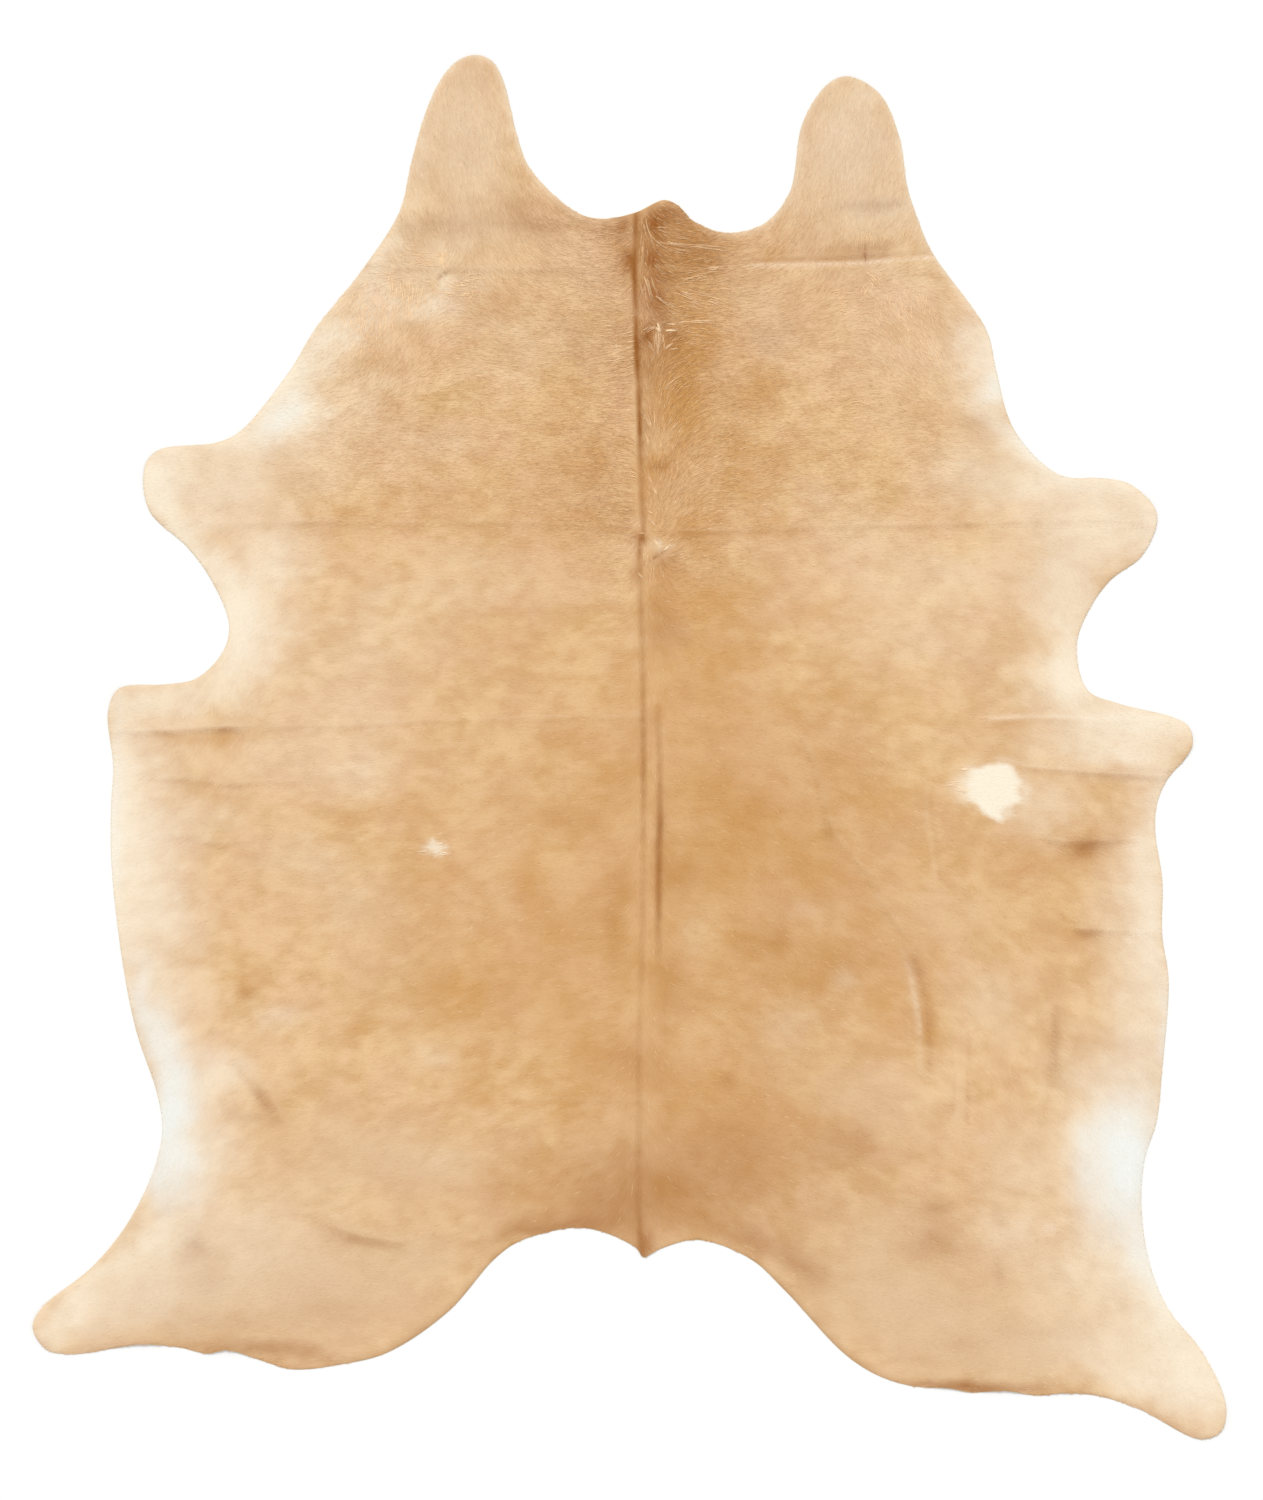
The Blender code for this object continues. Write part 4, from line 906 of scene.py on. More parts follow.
def depth(points):
    """How deep inside the cut edge points lie, in metres, negative outside."""
    at = (points - DEPTHS_CORNER) / DEPTH_STEP
    at = np.clip(at, 0, np.array(DEPTHS.shape[::-1]) - LAST_CELL)
    corner = at.astype(int)
    return between_nodes(DEPTHS, (corner, (at - corner).T))


def across_route(points, route):
    """How far along the route each point lies, from 0 to 1, and how far to its left, in metres."""
    starts, steps = route[:-1], np.diff(route, axis=0)
    lengths = np.linalg.norm(steps, axis=1)
    travelled = way_along(route)
    offsets = points[:, None] - starts[None]
    share = np.clip((offsets * steps).sum(2) / lengths**2, 0, 1)
    gaps = offsets - share[:, :, None] * steps
    distance = np.linalg.norm(gaps, axis=2)
    nearest = distance.argmin(1)
    row = np.arange(len(points))
    side = np.sign(steps[nearest, 0] * gaps[row, nearest, 1] - steps[nearest, 1] * gaps[row, nearest, 0])
    along = (travelled[nearest] + share[row, nearest] * lengths[nearest]) / travelled[-1]
    return along, side * distance[row, nearest]


def close_to(points, curve, border):
    """Whether each point lies in the curve's box, made larger by the border on each side."""
    return ((points > curve.min(0) - border) & (points < curve.max(0) + border)).all(1)


def crease_route(crease):
    """A crease's route as a smooth curve in metres, and how brown its line is at each of its points."""
    marks = np.array(crease.route, float)
    route = smooth_curve(marks[:, :2] * MM, closed=False, steps=CURVE_STEPS)
    return route, np.interp(np.arange(len(route)) / CURVE_STEPS, np.arange(len(marks)), marks[:, 2])


def is_combed(crease):
    """Whether a crease is brown enough somewhere for its hair to be combed along it."""
    return max(brown for *_, brown in crease.route) > CREASE_COMBED


def creased(points):
    """What the creases do at each point: the height they add in metres, how brown they make it, partly with
    painted shade, how pale they make it with a painted highlight, and how near it is to where the coat
    parts, from 0 to 1."""
    relief, line, lip, parting = np.zeros((4, len(points)))
    for crease in CREASES.values():
        route, browns = crease_route(crease)
        reach = crease.reach * MM
        near = close_to(points, route, CREASE_BORDER * reach)
        if not near.any():
            continue
        along, across = across_route(points[near], route)
        travelled = way_along(route)
        from_end = np.minimum(along, 1 - along) * travelled[-1]
        strength = soft_step(from_end / (FADE_LENGTH * MM))
        swell = crease.swell * bell(across - crease.lean * MM, reach)
        groove = crease.groove * bell(across, reach * GROOVE_SHARE)
        relief[near] += strength * (swell - groove) * MM
        uneven = 1
        for size, seed in LINE_CLOUDS:
            uneven = uneven * (1 + LINE_UNEVENNESS * cloud(points[near], size, seed))
        brown = np.interp(along * travelled[-1], travelled, browns)
        # The brown line: partly darker hair where the coat parts, partly painted shade in the fold
        on_line = strength * bell(across, crease.width * MM)
        line[near] += uneven * brown * on_line
        # The pale lip past the line: a painted highlight along the swell
        past_line = across - np.sign(crease.lean) * (crease.width + LIP_GAP) * MM
        lip[near] += strength * uneven * crease.lip * bell(past_line, LIP_WIDTH * MM)
        if is_combed(crease):
            parting[near] = np.maximum(parting[near], on_line * soft_step(brown / CREASE_COMBED))
    return relief, np.clip(line, 0, 1), np.clip(lip, 0, 1), parting


def lifted(points):
    """How far the sheet is off the ground, in metres."""
    height = np.zeros(len(points))
    for lift in LIFTS.values():
        distance = np.linalg.norm(points - np.array((lift.x, lift.y)) * MM, axis=1)
        height = np.maximum(height, lift.rise * MM * soft_step(1 - distance / (lift.reach * MM)))
    return height


def waved(points):
    """The long waves of the leather, in metres."""
    height = np.zeros(len(points))
    for index, wave in enumerate(WAVES):
        way = points @ unit(wave.heading)
        height += wave.height * MM * np.sin(2 * np.pi * way / (wave.length * MM) + index)
    return height


def surface(points):
    """The height of the sheet's top at each point, in metres, and the creases' brown, partly painted shade,
    and their pale painted highlight there.
    """
    relief, line, lip, _ = creased(points)
    fullness = soft_step(depth(points) / RIM_WIDTH)
    thickness = RIM_THICKNESS + (SHEET_THICKNESS - RIM_THICKNESS) * fullness
    return lifted(points) + thickness + fullness * (relief + waved(points)), line, lip


def lie_of_coat(points):
    """The way that the hair points at each place, as unit vectors."""
    left = np.clip(0.5 - (points[:, :1] - SPINE_X) / SPINE_WIDTH, 0, 1)
    way = left * unit(OUTWARD_LEFT) + (1 - left) * unit(OUTWARD_RIGHT)
    for lie in LIES.values():
        offset = points - np.array((lie.x, lie.y)) * MM
        nearness = bell(offset[:, 0], lie.reach_x * MM) * bell(offset[:, 1], lie.reach_y * MM)
        way = way + lie.strength * nearness[:, None] * unit(lie.heading)
    for whorl in WHORLS.values():
        offset = points - np.array((whorl.x, whorl.y)) * MM
        distance = np.linalg.norm(offset, axis=1)[:, None] + SAME_PLACE
        outward = turned(offset / distance, np.full(len(points), np.radians(whorl.twist)))
        way = way + whorl.strength * bell(distance, whorl.reach * MM) * outward
    return way / np.linalg.norm(way, axis=1)[:, None]


def shagginess(points):
    """How loose and uneven the coat is at each point, from 0 to 1."""
    x, y = points.T / MM
    neck = soft_step((y - NECK_START) / NECK_FADE) * soft_step((NECK_HALF_WIDTH - abs(x)) / NECK_SIDE_FADE)
    crest = bell(x - CREST_X, CREST_REACH) * soft_step((y - CREST_START) / CREST_FADE)
    return SLEEK + NECK_SHAGGINESS * neck + CREST_SHAGGINESS * crest


def mottled(points):
    """The coat's fine cloudiness from 0 to 1, drawn out a little from side to side as the hair lies."""
    value = np.zeros(len(points))
    for size, stretch, share, seed in MOTTLES:
        value += share * cloud(points / (stretch, 1.0), size, seed)
    return np.clip(0.5 + value * (MOTTLING + SHAGGY_MOTTLING * shagginess(points)), 0, 1)


def dyed(points):
    """How strong each dye but those of the creases and spots is at each point, from 0 to 1, with brown
    painted shade at cut edges that face the tail.
    """
    stray = strays(points, WANDER_SIZE, WANDER_SEEDS)
    stray += FINE_WANDER_SHARE * strays(points, FINE_WANDER_SIZE, FINE_WANDER_SEEDS)
    dyes = {}
    for dye, patches in PATCHES.items():
        bare = np.ones(len(points))
        for x, y, half_width, half_height, turn, strength in patches:
            wander = min(PATCH_WANDER, WANDER_SHARE * min(half_width, half_height)) * MM
            offset = points + stray * wander - np.array((x, y)) * MM
            along, across = offset @ unit(turn), offset @ unit(turn + 90)
            bare *= 1 - strength * bell(along, half_width * MM) * bell(across, half_height * MM)
        dyes[dye] = 1 - bare
    dyes["rosy"] = np.full(len(points), ROSINESS)
    for size, seed in ROSY_CLOUDS:
        dyes["rosy"] += ROSY_SHARE * cloud(points, size, seed)

    inside = np.maximum(depth(points), 0)
    probe = np.array((0, RIM_PROBE))
    slope = (depth(points + probe) - depth(points - probe)) / (2 * RIM_PROBE)
    # Painted shade: brown where the cut edge faces the tail, away from the key light
    painted_shade_to_tail = soft_step((slope - PAINTED_SHADE_SLOPE) / SLOPE_FADE) * bell(inside, RIM_PAINTED_SHADE_WIDTH * MM)
    to_head = soft_step((PALE_SLOPE - slope) / SLOPE_FADE) * bell(inside, RIM_PALE_WIDTH * MM)
    at_poll = bell(points[:, 0] - POLL_X, POLL_REACH) * soft_step((points[:, 1] - POLL_Y) / POLL_FADE)
    dyes["cream"] = np.maximum(dyes["cream"], RIM_PALENESS * to_head * (1 - at_poll))
    dyes["umber_and_painted_shade"] = np.maximum(dyes["umber_and_painted_shade"], RIM_PAINTED_SHADE * painted_shade_to_tail)
    dyes["cream"] **= 1 + CREAM_MOTTLING * (0.5 - mottled(points)) * dyes["cream"]
    return dyes


def encloses(curve, points):
    """Whether each point lies inside the closed curve."""
    after = np.roll(curve, -1, 0)
    x, y = points[:, :1], points[:, 1:]
    spans = (curve[:, 1] > y) != (after[:, 1] > y)
    rise = np.where(after[:, 1] == curve[:, 1], 1.0, after[:, 1] - curve[:, 1])
    crossing = curve[:, 0] + (y - curve[:, 1]) / rise * (after[:, 0] - curve[:, 0])
    return (spans & (x < crossing)).sum(1) % 2 == 1


def spotted(points):
    """How white each point is from the white spots, from 0 to 1, with a soft border."""
    white = np.zeros(len(points))
    for spot in SPOTS.values():
        rim = smooth_curve(np.array(spot.rim, float) * MM, closed=True, steps=CURVE_STEPS)
        near = close_to(points, rim, SPOT_BORDER)
        if not near.any():
            continue
        border = np.abs(across_route(points[near], np.vstack((rim, rim[:1])))[1])
        border = np.where(encloses(rim, points[near]), border, -border)
        stray = SPOT_WANDER * SPOT_BORDER * cloud(points[near], SPOT_WANDER_SIZE, SPOT_WANDER_SEED)
        white[near] = spot.whiteness * soft_step(0.5 + (border + stray) / SPOT_BORDER)
    return white


def new_piece(name, corners, faces, materials, smooth):
    """A mesh object of those corners and triangles, which rides on the hide's body."""
    mesh = bpy.data.meshes.new(name)
    mesh.vertices.add(len(corners))
    mesh.vertices.foreach_set("co", np.asarray(corners, np.float32).ravel())
    mesh.loops.add(3 * len(faces))
    mesh.loops.foreach_set("vertex_index", faces.ravel().astype(np.int32))
    mesh.polygons.add(len(faces))
    mesh.polygons.foreach_set("loop_start", np.arange(0, 3 * len(faces), 3).astype(np.int32))
    mesh.update(calc_edges=True)
    mesh.validate()
    for material in materials:
        mesh.materials.append(material)
    if smooth:
        mesh.shade_smooth()
    else:
        mesh.shade_flat()
    piece = bpy.data.objects.new(name, mesh)
    bpy.context.scene.collection.objects.link(piece)
    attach(piece, "root")
    return piece


def keep_values(mesh, values):
    """Stores named values of the mesh's corners, which its material reads."""
    for name, numbers in values.items():
        layer = mesh.attributes.new(name, "FLOAT", "POINT")
        layer.data.foreach_set("value", np.asarray(numbers, np.float32))


def staggered(step, seed=None):
    """Points of a staggered grid over the hide's box, which a seed scatters a little."""
    low, high = EDGE.min(0), EDGE.max(0)
    rows = []
    for index, y in enumerate(np.arange(low[1], high[1], step * np.sqrt(3) / 2)):
        x = np.arange(low[0] + (index % 2) * step / 2, high[0], step)
        rows.append(np.stack((x, np.full(len(x), y)), axis=1))
    points = np.vstack(rows)
    if seed is not None:
        draw = np.random.default_rng(seed)
        points += draw.uniform(-STAGGER_SCATTER, STAGGER_SCATTER, points.shape) * step
    return points


def clear_of(points, others, gap):
    """The points that lie at least the gap from all the others."""
    tree = tree_of(others)
    return points[[tree.find((x, y, 0))[2] >= gap for x, y in points]]


def crease_points():
    """Rows of close points along every crease, so that its groove and its lip keep their form."""
    kept = np.empty((0, 2))
    for crease in CREASES.values():
        route = evenly_along(crease_route(crease)[0], CREASE_STEP, closed=False)
        left = left_of(route, closed=False)
        rows = np.vstack([route + left * offset * MM for offset in CREASE_ROWS])
        kept = np.vstack((kept, clear_of(rows, kept, CREASE_POINT_GAP) if len(kept) else rows))
    return kept[depth(kept) > CLEAR_OF_EDGE]


def skin_of(inner):
    """Points and triangles between the cut edge and the inner points. The edge's own points come first."""
    points = [Vector(point) for point in np.vstack((EDGE, inner))]
    border = [(index, (index + 1) % len(EDGE)) for index in range(len(EDGE))]
    inside_only = 1
    placed, _, faces, *_ = delaunay_2d_cdt(points, border, [], inside_only, SAME_PLACE / 10)
    return np.array([(point.x, point.y) for point in placed]), np.array(faces)


def skin_top(inward):
    """The top's points and triangles: the edge, a row beside it, the creases' rows and a field between."""
    along_creases = crease_points()
    beside_edge = EDGE + inward * RIM_ROW_INSET
    field = staggered(TOP_STEP)
    field = field[depth(field) > CLEAR_OF_EDGE + FIELD_INSET]
    field = clear_of(field, np.vstack((along_creases, beside_edge)), TOP_STEP * TOP_GAP_SHARE)
    return skin_of(np.vstack((clear_of(beside_edge, along_creases, RIM_ROW_GAP), along_creases, field)))


def skin_base(inward):
    """The underside's points and triangles, fewer because it is flat."""
    field = staggered(UNDER_STEP)
    field = field[depth(field) > UNDER_STEP / 2]
    beside_edge = EDGE[::UNDER_EDGE_EACH] + inward[::UNDER_EDGE_EACH] * UNDER_EDGE_INSET
    return skin_of(np.vstack((beside_edge, field)))


def tanned_skin(materials):
    """The leather sheet: its creased top, its cut rim worn a little round, and its flat underside."""
    inward = left_of(EDGE, closed=True)
    top, top_faces = skin_top(inward)
    base, base_faces = skin_base(inward)
    count = len(EDGE)
    top_height, line, lip = surface(top)
    base_height = lifted(base)
    top_place, base_place = top.copy(), base.copy()
    top_place[:count] += inward * RIM_ROUNDING
    base_place[:count] += inward * RIM_ROUNDING
    top_height[:count] -= RIM_ROUNDING / 2
    base_height[:count] += RIM_ROUNDING / 4
    corners = np.vstack((
        np.column_stack((top_place, top_height)),
        np.column_stack((base_place, base_height)),
        np.column_stack((EDGE, (top_height[:count] + base_height[:count]) / 2)),
    ))

    here = np.arange(count)
    after = (here + 1) % count
    first_base, first_middle = len(top), len(top) + len(base)
    rim = np.vstack((
        np.column_stack((first_middle + here, first_middle + after, after)),
        np.column_stack((first_middle + here, after, here)),
        np.column_stack((first_base + here, first_base + after, first_middle + after)),
        np.column_stack((first_base + here, first_middle + after, first_middle + here)),
    ))
    faces = np.vstack((top_faces, base_faces[:, ::-1] + first_base, rim))
    skin = new_piece("tanned_skin", corners, faces, materials, smooth=True)
    finishes = np.repeat((0, 1, 2), (len(top_faces), len(base_faces), len(rim)))
    skin.data.polygons.foreach_set("material_index", finishes.astype(np.int32))
    on_top = dyed(top)
    on_top.update(crease_line=line, crease_lip=lip, mottle=mottled(top), white_spot=spotted(top))
    elsewhere = np.zeros(len(corners) - len(top))
    keep_values(skin.data, {name: np.concatenate((value, elsewhere)) for name, value in on_top.items()})
    return skin


def map_cells(count):
    """A place of its own on the bake's map for each lock: a grid of cells, run through back and forth."""
    side = int(np.ceil(np.sqrt(count)))
    row, column = np.divmod(np.arange(count), side)
    column = np.where(row % 2, side - 1 - column, column)
    return np.stack((column, row), axis=1) / side, 1 / side


def keep_map(mesh, count, places):
    """A bake map for a mesh of many small equal pieces, each in a cell with its corners at those places."""
    cells, cell = map_cells(count)
    corners = (cells[:, None] + np.array(places)[None] * cell).reshape(-1, 2)
    used = np.empty(len(mesh.loops), np.int32)
    mesh.loops.foreach_get("vertex_index", used)
    layer = mesh.uv_layers.new(name="OFBake")
    layer.uv.foreach_set("vector", corners[used].astype(np.float32).ravel())


def locks_of_hair(name, roots, tips, half, rise, tone, bleached, material):
    """Joined closed wedges of hair, each from its root to its raised tip, with the coat's colours."""
    count = len(roots)
    ahead = tips - roots
    way = ahead / np.linalg.norm(ahead, axis=1)[:, None]
    beside = turned(way, np.full(count, np.pi / 2)) * half[:, None]
    ridge = roots + ahead * RIDGE_PLACE
    root_height, tip_height = surface(roots)[0], surface(tips)[0]
    low = root_height - LOCK_SINK * MM
    from_edge = soft_step(depth(tips) / RIM_WIDTH) * (1 - RISE_AT_EDGE) + RISE_AT_EDGE
    high = tip_height + rise * from_edge
    underside = low + (high - low) * RIDGE_PLACE
    ridge_height = np.maximum(root_height + RIDGE_RISE * rise, underside) + LOCK_RIDGE * MM
    corners = np.stack((
        np.column_stack((roots + beside, low)),
        np.column_stack((roots - beside, low)),
        np.column_stack((ridge, ridge_height)),
        np.column_stack((tips, high)),
    ), axis=1).reshape(-1, 3)
    first = np.arange(count)[:, None] * LOCK_CORNERS
    faces = np.stack((first + (0, 2, 3), first + (2, 1, 3), first + (1, 2, 0), first + (0, 3, 1)), axis=1)
    coat = new_piece(name, corners, faces.reshape(-1, 3), [material], smooth=False)

    at_root, at_tip = dyed(roots), dyed(roots + TIP_DYE_PLACE * ahead)
    at_root["mottle"], at_tip["mottle"] = mottled(roots), mottled(tips)
    values = {dye: np.stack((at_root[dye],) * 3 + (at_tip[dye],), axis=1).ravel() for dye in at_root}
    _, values["crease_line"], values["crease_lip"], _ = creased(corners[:, :2])
    values["white_spot"] = spotted(corners[:, :2])
    values["lock_tone"] = np.repeat(tone, LOCK_CORNERS)
    values["bleached"] = np.repeat(bleached, LOCK_CORNERS)
    values["to_tip"] = np.tile((0.0, 0.0, RIDGE_PLACE, 1.0), count)
    keep_values(coat.data, values)
    keep_map(coat.data, count, LOCK_ON_MAP)
    return coat


def laid_locks(name, layer, material):
    """One layer of the coat, combed as the hair lies, which parts along the deeper creases."""
    draw = np.random.default_rng(layer.seed)
    roots = staggered(layer.gap * MM, layer.seed)
    roots = roots[depth(roots) > ROOT_DEPTH]
    roots = roots[creased(roots)[3] < PARTING]
    roots = roots[draw.random(len(roots)) > layer.sparse * (1 - SPARSE_FILL * shagginess(roots))]
    count = len(roots)
    way = turned(lie_of_coat(roots), np.radians(layer.stray) * draw.normal(0, 1, count))
    length = layer.length * MM * draw.uniform(*SIZE_VARIETY, count)
    for _ in range(SHORTENINGS):
        tips = roots + way * length[:, None]
        outside = depth(tips) < -MOST_OVERHANG * MM
        crossing = np.maximum(creased(tips)[3], creased((roots + tips) / 2)[3]) > PARTING
        length[outside | crossing] *= SHORTENING
    tips = roots + way * length[:, None]
    shaggy = shagginess(roots)
    half = layer.width / 2 * MM * draw.uniform(*SIZE_VARIETY, count)
    rise = layer.rise * MM * draw.uniform(*RISE_VARIETY, count) * (SLEEK_RISE + SHAGGY_RISE * shaggy)
    contrast = SLEEK_CONTRAST + SHAGGY_CONTRAST * shaggy
    tone = (draw.exponential(1, count) - 1) * contrast + layer.tone * (SLEEK_TONE + SHAGGY_TONE * shaggy)
    tone = np.minimum(tone, MOST_TONE)
    bleached = layer.bleached * draw.uniform(*BLEACH_VARIETY, count)
    return locks_of_hair(name, roots, tips, half, rise, tone, bleached, material)


def crease_hair(material):
    """Short hair combed along the deeper creases, where the coat parts."""
    draw = np.random.default_rng(COMB_SEED)
    rows, ways = [], []
    for crease in CREASES.values():
        if not is_combed(crease):
            continue
        route = evenly_along(crease_route(crease)[0], COMB_STEP, closed=False)
        left = left_of(route, closed=False)
        for offset in np.arange(-COMB_REACH * crease.width, COMB_END * crease.width, COMB_ROW):
            rows.append(route + left * offset * MM)
            ways.append(turned(left, np.full(len(left), -np.pi / 2)))
    roots, way = np.vstack(rows), np.vstack(ways)
    roots = roots + draw.normal(0, COMB_SCATTER, roots.shape)
    kept = depth(roots) > COMB_DEPTH
    roots, way = roots[kept], way[kept]
    count = len(roots)
    with_lie = np.where((way * lie_of_coat(roots)).sum(1) < 0, -1, 1)
    way = turned(way * with_lie[:, None], np.radians(COMB_STRAY) * draw.normal(0, 1, count))
    tips = roots + way * (COMB_LENGTH * draw.uniform(*SIZE_VARIETY, count))[:, None]
    inside = depth(tips) > -MOST_OVERHANG * MM
    roots, tips = roots[inside], tips[inside]
    count = len(roots)
    half = COMB_HALF_WIDTH * draw.uniform(*SIZE_VARIETY, count)
    rise = COMB_RISE * draw.uniform(*RISE_VARIETY, count)
    tone = draw.normal(0, COMB_CONTRAST, count)
    return locks_of_hair("crease_hair", roots, tips, half, rise, tone, np.zeros(count), material)


def wisp_faces():
    """The triangles of one tapering hair: its root, its sides ring by ring, and its tip."""
    sides = len(HAIR_SECTION)
    faces = [(0, 2, 1)]
    for ring in range(HAIR_RINGS):
        for side in range(sides):
            here, after = ring * sides + side, ring * sides + (side + 1) % sides
            faces += [(here, after, after + sides), (here, after + sides, here + sides)]
    last = HAIR_RINGS * sides
    faces.append((last, last + 1, last + 2))
    return np.array(faces)


def long_wisps(material):
    """The wisps: thin closed tapering hairs that curl over the coat."""
    draw = np.random.default_rng(WISP_SEED)
    rows = np.repeat(np.array(WISPS, float), [wisp.count for wisp in WISPS], axis=0)
    count = len(rows)
    x, y, heading, vary, length, curl, _, scatter_x, scatter_y, white = rows.T
    x = x + scatter_x * draw.normal(0, WISP_SPREAD, count)
    y = y + scatter_y * draw.normal(0, WISP_SPREAD, count)
    roots = np.stack((x, y), axis=1)
    heading = heading + vary * draw.normal(0, WISP_SPREAD, count)
    length = length * draw.uniform(*WISP_LENGTH_VARIETY, count) * MM
    share = np.linspace(0, 1, HAIR_RINGS + 1)
    middle = (share[1:] + share[:-1]) / 2
    headings = heading[:, None] + curl[:, None] * (1 - (1 - middle) ** 2)
    steps = unit(headings) * (length / HAIR_RINGS)[:, None, None]
    path = roots[:, None] * MM + np.concatenate((np.zeros((count, 1, 2)), np.cumsum(steps, axis=1)), axis=1)
    height = surface(path.reshape(-1, 2))[0].reshape(count, -1)
    arch = HAIR_END_RISE + np.sin(np.pi * share) ** HAIR_ARCH * (1 - HAIR_END_RISE)
    rise = HAIR_RISE * MM * draw.uniform(*HAIR_RISE_VARIETY, count)[:, None] * arch
    height = height + rise - (share == 0) * 2 * LOCK_SINK * MM
    ahead = np.gradient(path, axis=1)
    ahead /= np.linalg.norm(ahead, axis=2)[:, :, None]
    beside = np.stack((-ahead[:, :, 1], ahead[:, :, 0]), axis=2)
    half = HAIR_WIDTH / 2 * MM * draw.uniform(*SIZE_VARIETY, count)[:, None] * (1 - HAIR_TAPER * share**2)
    corners = []
    for left, up in HAIR_SECTION:
        place = path + beside * (half * left)[:, :, None]
        corners.append(np.concatenate((place, (height + half * up)[:, :, None]), axis=2))
    corners = np.stack(corners, axis=2).reshape(-1, 3)
    sides = len(HAIR_SECTION)
    each = (HAIR_RINGS + 1) * sides
    faces = (np.arange(count)[:, None, None] * each + wisp_faces()[None]).reshape(-1, 3)
    wisps = new_piece("long_wisps", corners, faces, [material], smooth=False)
    values = {dye: WISP_DYE * amount for dye, amount in dyed(corners[:, :2]).items()}
    values["bleached"] = np.repeat(np.minimum(WISP_BLEACH * white, 1), each)
    values["mottle"] = np.full(count * each, 1.0)
    values["lock_tone"] = np.full(count * each, MOST_TONE)
    values["white_spot"] = np.repeat(np.maximum(2 * (white - WISP_WHITE_START), 0), each)
    values["to_tip"] = np.tile(np.repeat(share, sides), count)
    keep_values(wisps.data, values)
    across = np.linspace(HAIR_MAP_SIDE, 1 - HAIR_MAP_SIDE, sides)
    along = HAIR_MAP_END + (1 - 2 * HAIR_MAP_END) * share
    keep_map(wisps.data, count, [(u, v) for v in along for u in across])
    return wisps


def linear(hex_colour):
    """An sRGB hex colour as linear red, green, blue and alpha."""
    parts = [int(hex_colour[place:place + 2], 16) / 255 for place in (1, 3, 5)]
    return [part / 12.92 if part <= 0.04045 else ((part + 0.055) / 1.055) ** 2.4 for part in parts] + [1.0]


def add_node(tree, kind, inputs, **settings):
    """A new node with its settings, and its inputs set to values or linked to other nodes' outputs."""
    node = tree.nodes.new(kind)
    for name, value in settings.items():
        setattr(node, name, value)
    for place, value in inputs.items():
        if isinstance(value, bpy.types.NodeSocket):
            tree.links.new(value, node.inputs[place])
        else:
            node.inputs[place].default_value = value
    return node


# Where a Mix node that mixes colours keeps its factor, its two colours and its result
FACTOR, FIRST, SECOND, RESULT = 0, 6, 7, 2


def empty_material(name):
    """A new material with its Principled shader only, and the tree that its nodes go in."""
    material = bpy.data.materials.new(name)
    material.use_nodes = True
    return material, material.node_tree, material.node_tree.nodes["Principled BSDF"]


def coat_colour(tree):
    """The coat's colour: golden tan hair clouded with a paler tan, then each dye over it in turn, some of
    them painted shade and highlight at the creases and edges.
    """
    mottle = add_node(tree, "ShaderNodeAttribute", {}, attribute_name="mottle")
    colour = add_node(tree, "ShaderNodeMix", {
        FACTOR: mottle.outputs["Fac"], FIRST: linear(GOLDEN_TAN), SECOND: linear(PALE_TAN),
    }, data_type="RGBA").outputs[RESULT]
    for dye, dye_colour in DYES.items():
        amount = add_node(tree, "ShaderNodeAttribute", {}, attribute_name=dye)
        colour = add_node(tree, "ShaderNodeMix", {
            FACTOR: amount.outputs["Fac"], FIRST: colour, SECOND: linear(dye_colour),
        }, data_type="RGBA").outputs[RESULT]
    return colour


def lying_hair():
    """Short, glossy cattle hair: thin locks that differ a little, paler to the tip, with a soft sheen."""
    material, tree, shader = empty_material("lying_hair")
    colour = coat_colour(tree)
    tone = add_node(tree, "ShaderNodeAttribute", {}, attribute_name="lock_tone")
    to_tip = add_node(tree, "ShaderNodeAttribute", {}, attribute_name="to_tip")
    by_lock = add_node(tree, "ShaderNodeMapRange", {
        "Value": tone.outputs["Fac"], "From Min": -MOST_TONE, "From Max": MOST_TONE,
        "To Min": 0.86, "To Max": 1.14,
    })
    by_tip = add_node(tree, "ShaderNodeMapRange", {
        "Value": to_tip.outputs["Fac"], "To Min": 0.97, "To Max": 1.03,
    })
    value = add_node(tree, "ShaderNodeMath", {
        0: by_lock.outputs["Result"], 1: by_tip.outputs["Result"],
    }, operation="MULTIPLY")
    toned = add_node(tree, "ShaderNodeHueSaturation", {"Color": colour, "Value": value.outputs["Value"]})
    tree.links.new(toned.outputs["Color"], shader.inputs["Base Color"])
    shader.inputs["Roughness"].default_value = 0.6
    shader.inputs["Specular IOR Level"].default_value = 0.3
    return material


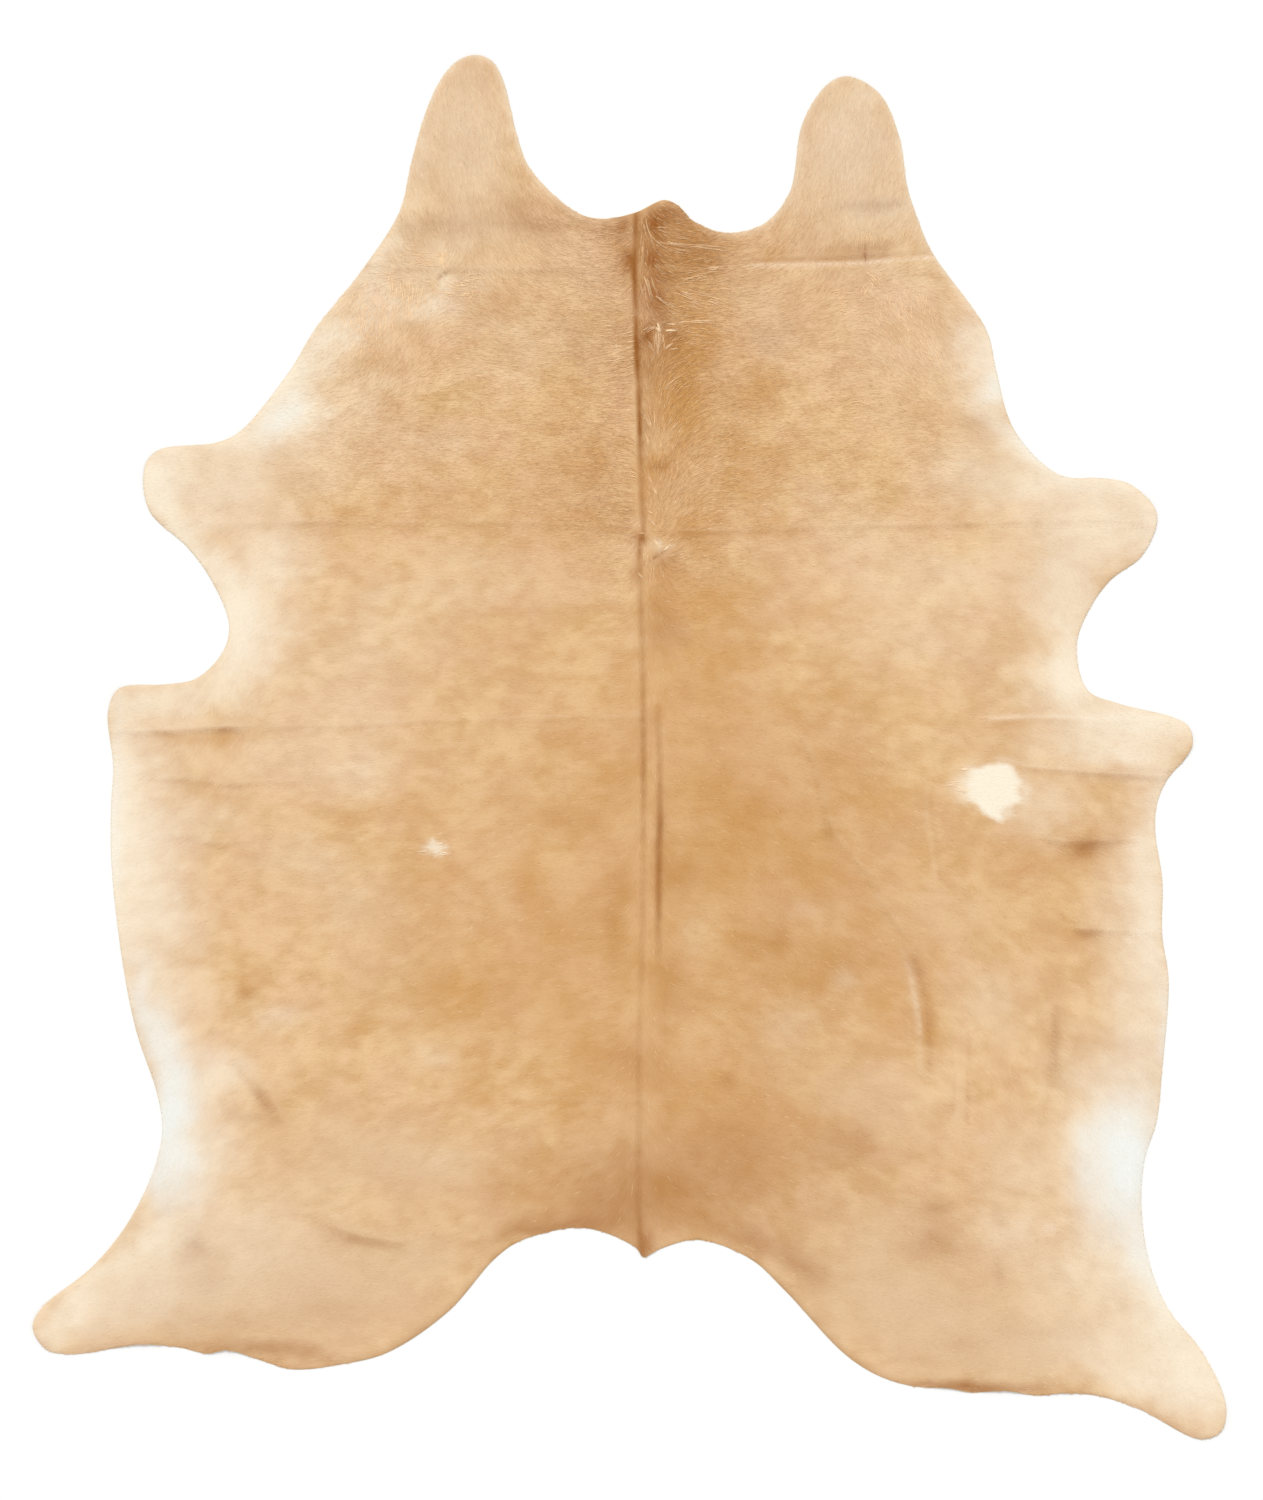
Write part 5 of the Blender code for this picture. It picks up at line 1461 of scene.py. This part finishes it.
def hair_foot():
    """The dense foot of the hair on the grain side, seen between the locks: darker, partly as painted shade
    of the roots, with fine streaks.
    """
    material, tree, shader = empty_material("hair_foot")
    colour = coat_colour(tree)
    place = add_node(tree, "ShaderNodeTexCoord", {}).outputs["Object"]
    # Hairs are 0.08 mm thick, so these streaks stand for tufts of them
    stretched = add_node(tree, "ShaderNodeMapping", {
        "Vector": place, "Scale": (1 / STREAK_LENGTH, 1 / STREAK_WIDTH, 1.0),
    })
    streaks = add_node(tree, "ShaderNodeTexNoise", {"Vector": stretched.outputs["Vector"], "Scale": 1.0})
    # Darkens the foot by up to 8% along its streaks: partly the streaks' own pattern, partly painted shade
    # between the locks
    value = add_node(tree, "ShaderNodeMapRange", {
        "Value": streaks.outputs["Fac"], "From Min": 0.3, "From Max": 0.7, "To Min": 0.92, "To Max": 1.0,
    })
    toned = add_node(tree, "ShaderNodeHueSaturation", {"Color": colour, "Value": value.outputs["Result"]})
    bump = add_node(tree, "ShaderNodeBump", {
        "Height": streaks.outputs["Fac"], "Strength": 0.5, "Distance": 0.0006,
    })
    tree.links.new(toned.outputs["Color"], shader.inputs["Base Color"])
    tree.links.new(bump.outputs["Normal"], shader.inputs["Normal"])
    shader.inputs["Roughness"].default_value = 0.75
    return material


def flesh_suede():
    """The flesh side: buffed, chrome-tanned suede, pale and dull, with a fine nap and faint blots."""
    material, tree, shader = empty_material("flesh_suede")
    place = add_node(tree, "ShaderNodeTexCoord", {}).outputs["Object"]
    blots = add_node(tree, "ShaderNodeTexNoise", {"Vector": place, "Scale": 1 / BLOT_SIZE, "Detail": 4.0})
    # A real nap is finer than half a millimetre, too fine to show, and is drawn coarser
    nap = add_node(tree, "ShaderNodeTexNoise", {"Vector": place, "Scale": 1 / NAP_SIZE, "Detail": 2.0})
    blotted = add_node(tree, "ShaderNodeMix", {
        FACTOR: blots.outputs["Fac"], FIRST: linear("#C9B595"), SECOND: linear("#DDCFB6"),
    }, data_type="RGBA")
    napped = add_node(tree, "ShaderNodeMix", {
        FACTOR: 0.25, FIRST: blotted.outputs[RESULT], SECOND: nap.outputs["Color"],
    }, data_type="RGBA", blend_type="OVERLAY")
    bump = add_node(tree, "ShaderNodeBump", {
        "Height": nap.outputs["Fac"], "Strength": 0.6, "Distance": 0.0004,
    })
    tree.links.new(napped.outputs[RESULT], shader.inputs["Base Color"])
    tree.links.new(bump.outputs["Normal"], shader.inputs["Normal"])
    shader.inputs["Roughness"].default_value = 0.95
    shader.inputs["Specular IOR Level"].default_value = 0.2
    return material


def cut_leather():
    """The knife's cut through the skin: pale, close fibre with the layers running along it."""
    material, tree, shader = empty_material("cut_leather")
    place = add_node(tree, "ShaderNodeTexCoord", {}).outputs["Object"]
    layers = add_node(tree, "ShaderNodeMapping", {
        "Vector": place, "Scale": (1 / FIBRE_LENGTH, 1 / FIBRE_LENGTH, 1 / FIBRE_THICKNESS),
    })
    fibre = add_node(tree, "ShaderNodeTexNoise", {
        "Vector": layers.outputs["Vector"], "Scale": 1.0, "Detail": 3.0,
    })
    colour = add_node(tree, "ShaderNodeMix", {
        FACTOR: fibre.outputs["Fac"], FIRST: linear("#CDB489"), SECOND: linear("#EAD9B4"),
    }, data_type="RGBA")
    bump = add_node(tree, "ShaderNodeBump", {
        "Height": fibre.outputs["Fac"], "Strength": 0.5, "Distance": 0.0003,
    })
    tree.links.new(colour.outputs[RESULT], shader.inputs["Base Color"])
    tree.links.new(bump.outputs["Normal"], shader.inputs["Normal"])
    shader.inputs["Roughness"].default_value = 0.9
    return material


def white_paper():
    """The floor: matt, nearly white paper, which shows only the hide's own soft shadow."""
    material, _, shader = empty_material("white_paper")
    shader.inputs["Base Color"].default_value = linear("#FAFAFA")
    shader.inputs["Roughness"].default_value = 0.9
    shader.inputs["Specular IOR Level"].default_value = 0.1
    return material


def studio():
    """A plain pale floor, even light from all round, a broad soft light over the neck, and the camera."""
    floor_mesh = bpy.data.meshes.new("floor")
    half = FLOOR_SIZE / 2
    floor_mesh.from_pydata([(-half, -half, 0), (half, -half, 0), (half, half, 0), (-half, half, 0)], [],
                           [(0, 1, 2, 3)])
    floor_mesh.materials.append(white_paper())
    floor = bpy.data.objects.new("floor", floor_mesh)
    floor.location.z = -FLOOR_DROP
    bpy.context.scene.collection.objects.link(floor)

    world = bpy.data.worlds.new("studio")
    world.use_nodes = True
    world.node_tree.nodes["Background"].inputs["Color"].default_value = (1.0, 1.0, 1.0, 1.0)
    world.node_tree.nodes["Background"].inputs["Strength"].default_value = SKY_STRENGTH
    bpy.context.scene.world = world

    lamp = bpy.data.lights.new("soft_key", "SUN")
    lamp.energy = KEY_STRENGTH
    lamp.angle = np.radians(KEY_SOFTNESS)
    key = bpy.data.objects.new("soft_key", lamp)
    key.rotation_euler = Vector(KEY_FROM).to_track_quat("Z", "Y").to_euler()
    bpy.context.scene.collection.objects.link(key)

    lens = bpy.data.cameras.new("overhead")
    lens.lens = LENS
    lens.sensor_width = SENSOR
    camera = bpy.data.objects.new("overhead", lens)
    camera.location = (*FRAME_CENTRE, FRAME_HEIGHT * LENS / SENSOR)
    bpy.context.scene.collection.objects.link(camera)
    bpy.context.scene.camera = camera
    bpy.context.scene.view_settings.view_transform = "Standard"


def dress():
    """The hide with its coat, in the place of the plain sheet."""
    skin = tanned_skin([hair_foot(), flesh_suede(), cut_leather()])
    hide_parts(SHEET_NODE)
    hair = lying_hair()
    coats = [laid_locks(name, layer, hair) for name, layer in LAYERS.items()]
    coats += [crease_hair(hair), long_wisps(hair)]
    print("pieces:", {piece.name: len(piece.data.polygons) for piece in [skin, *coats]})


dress()
studio()
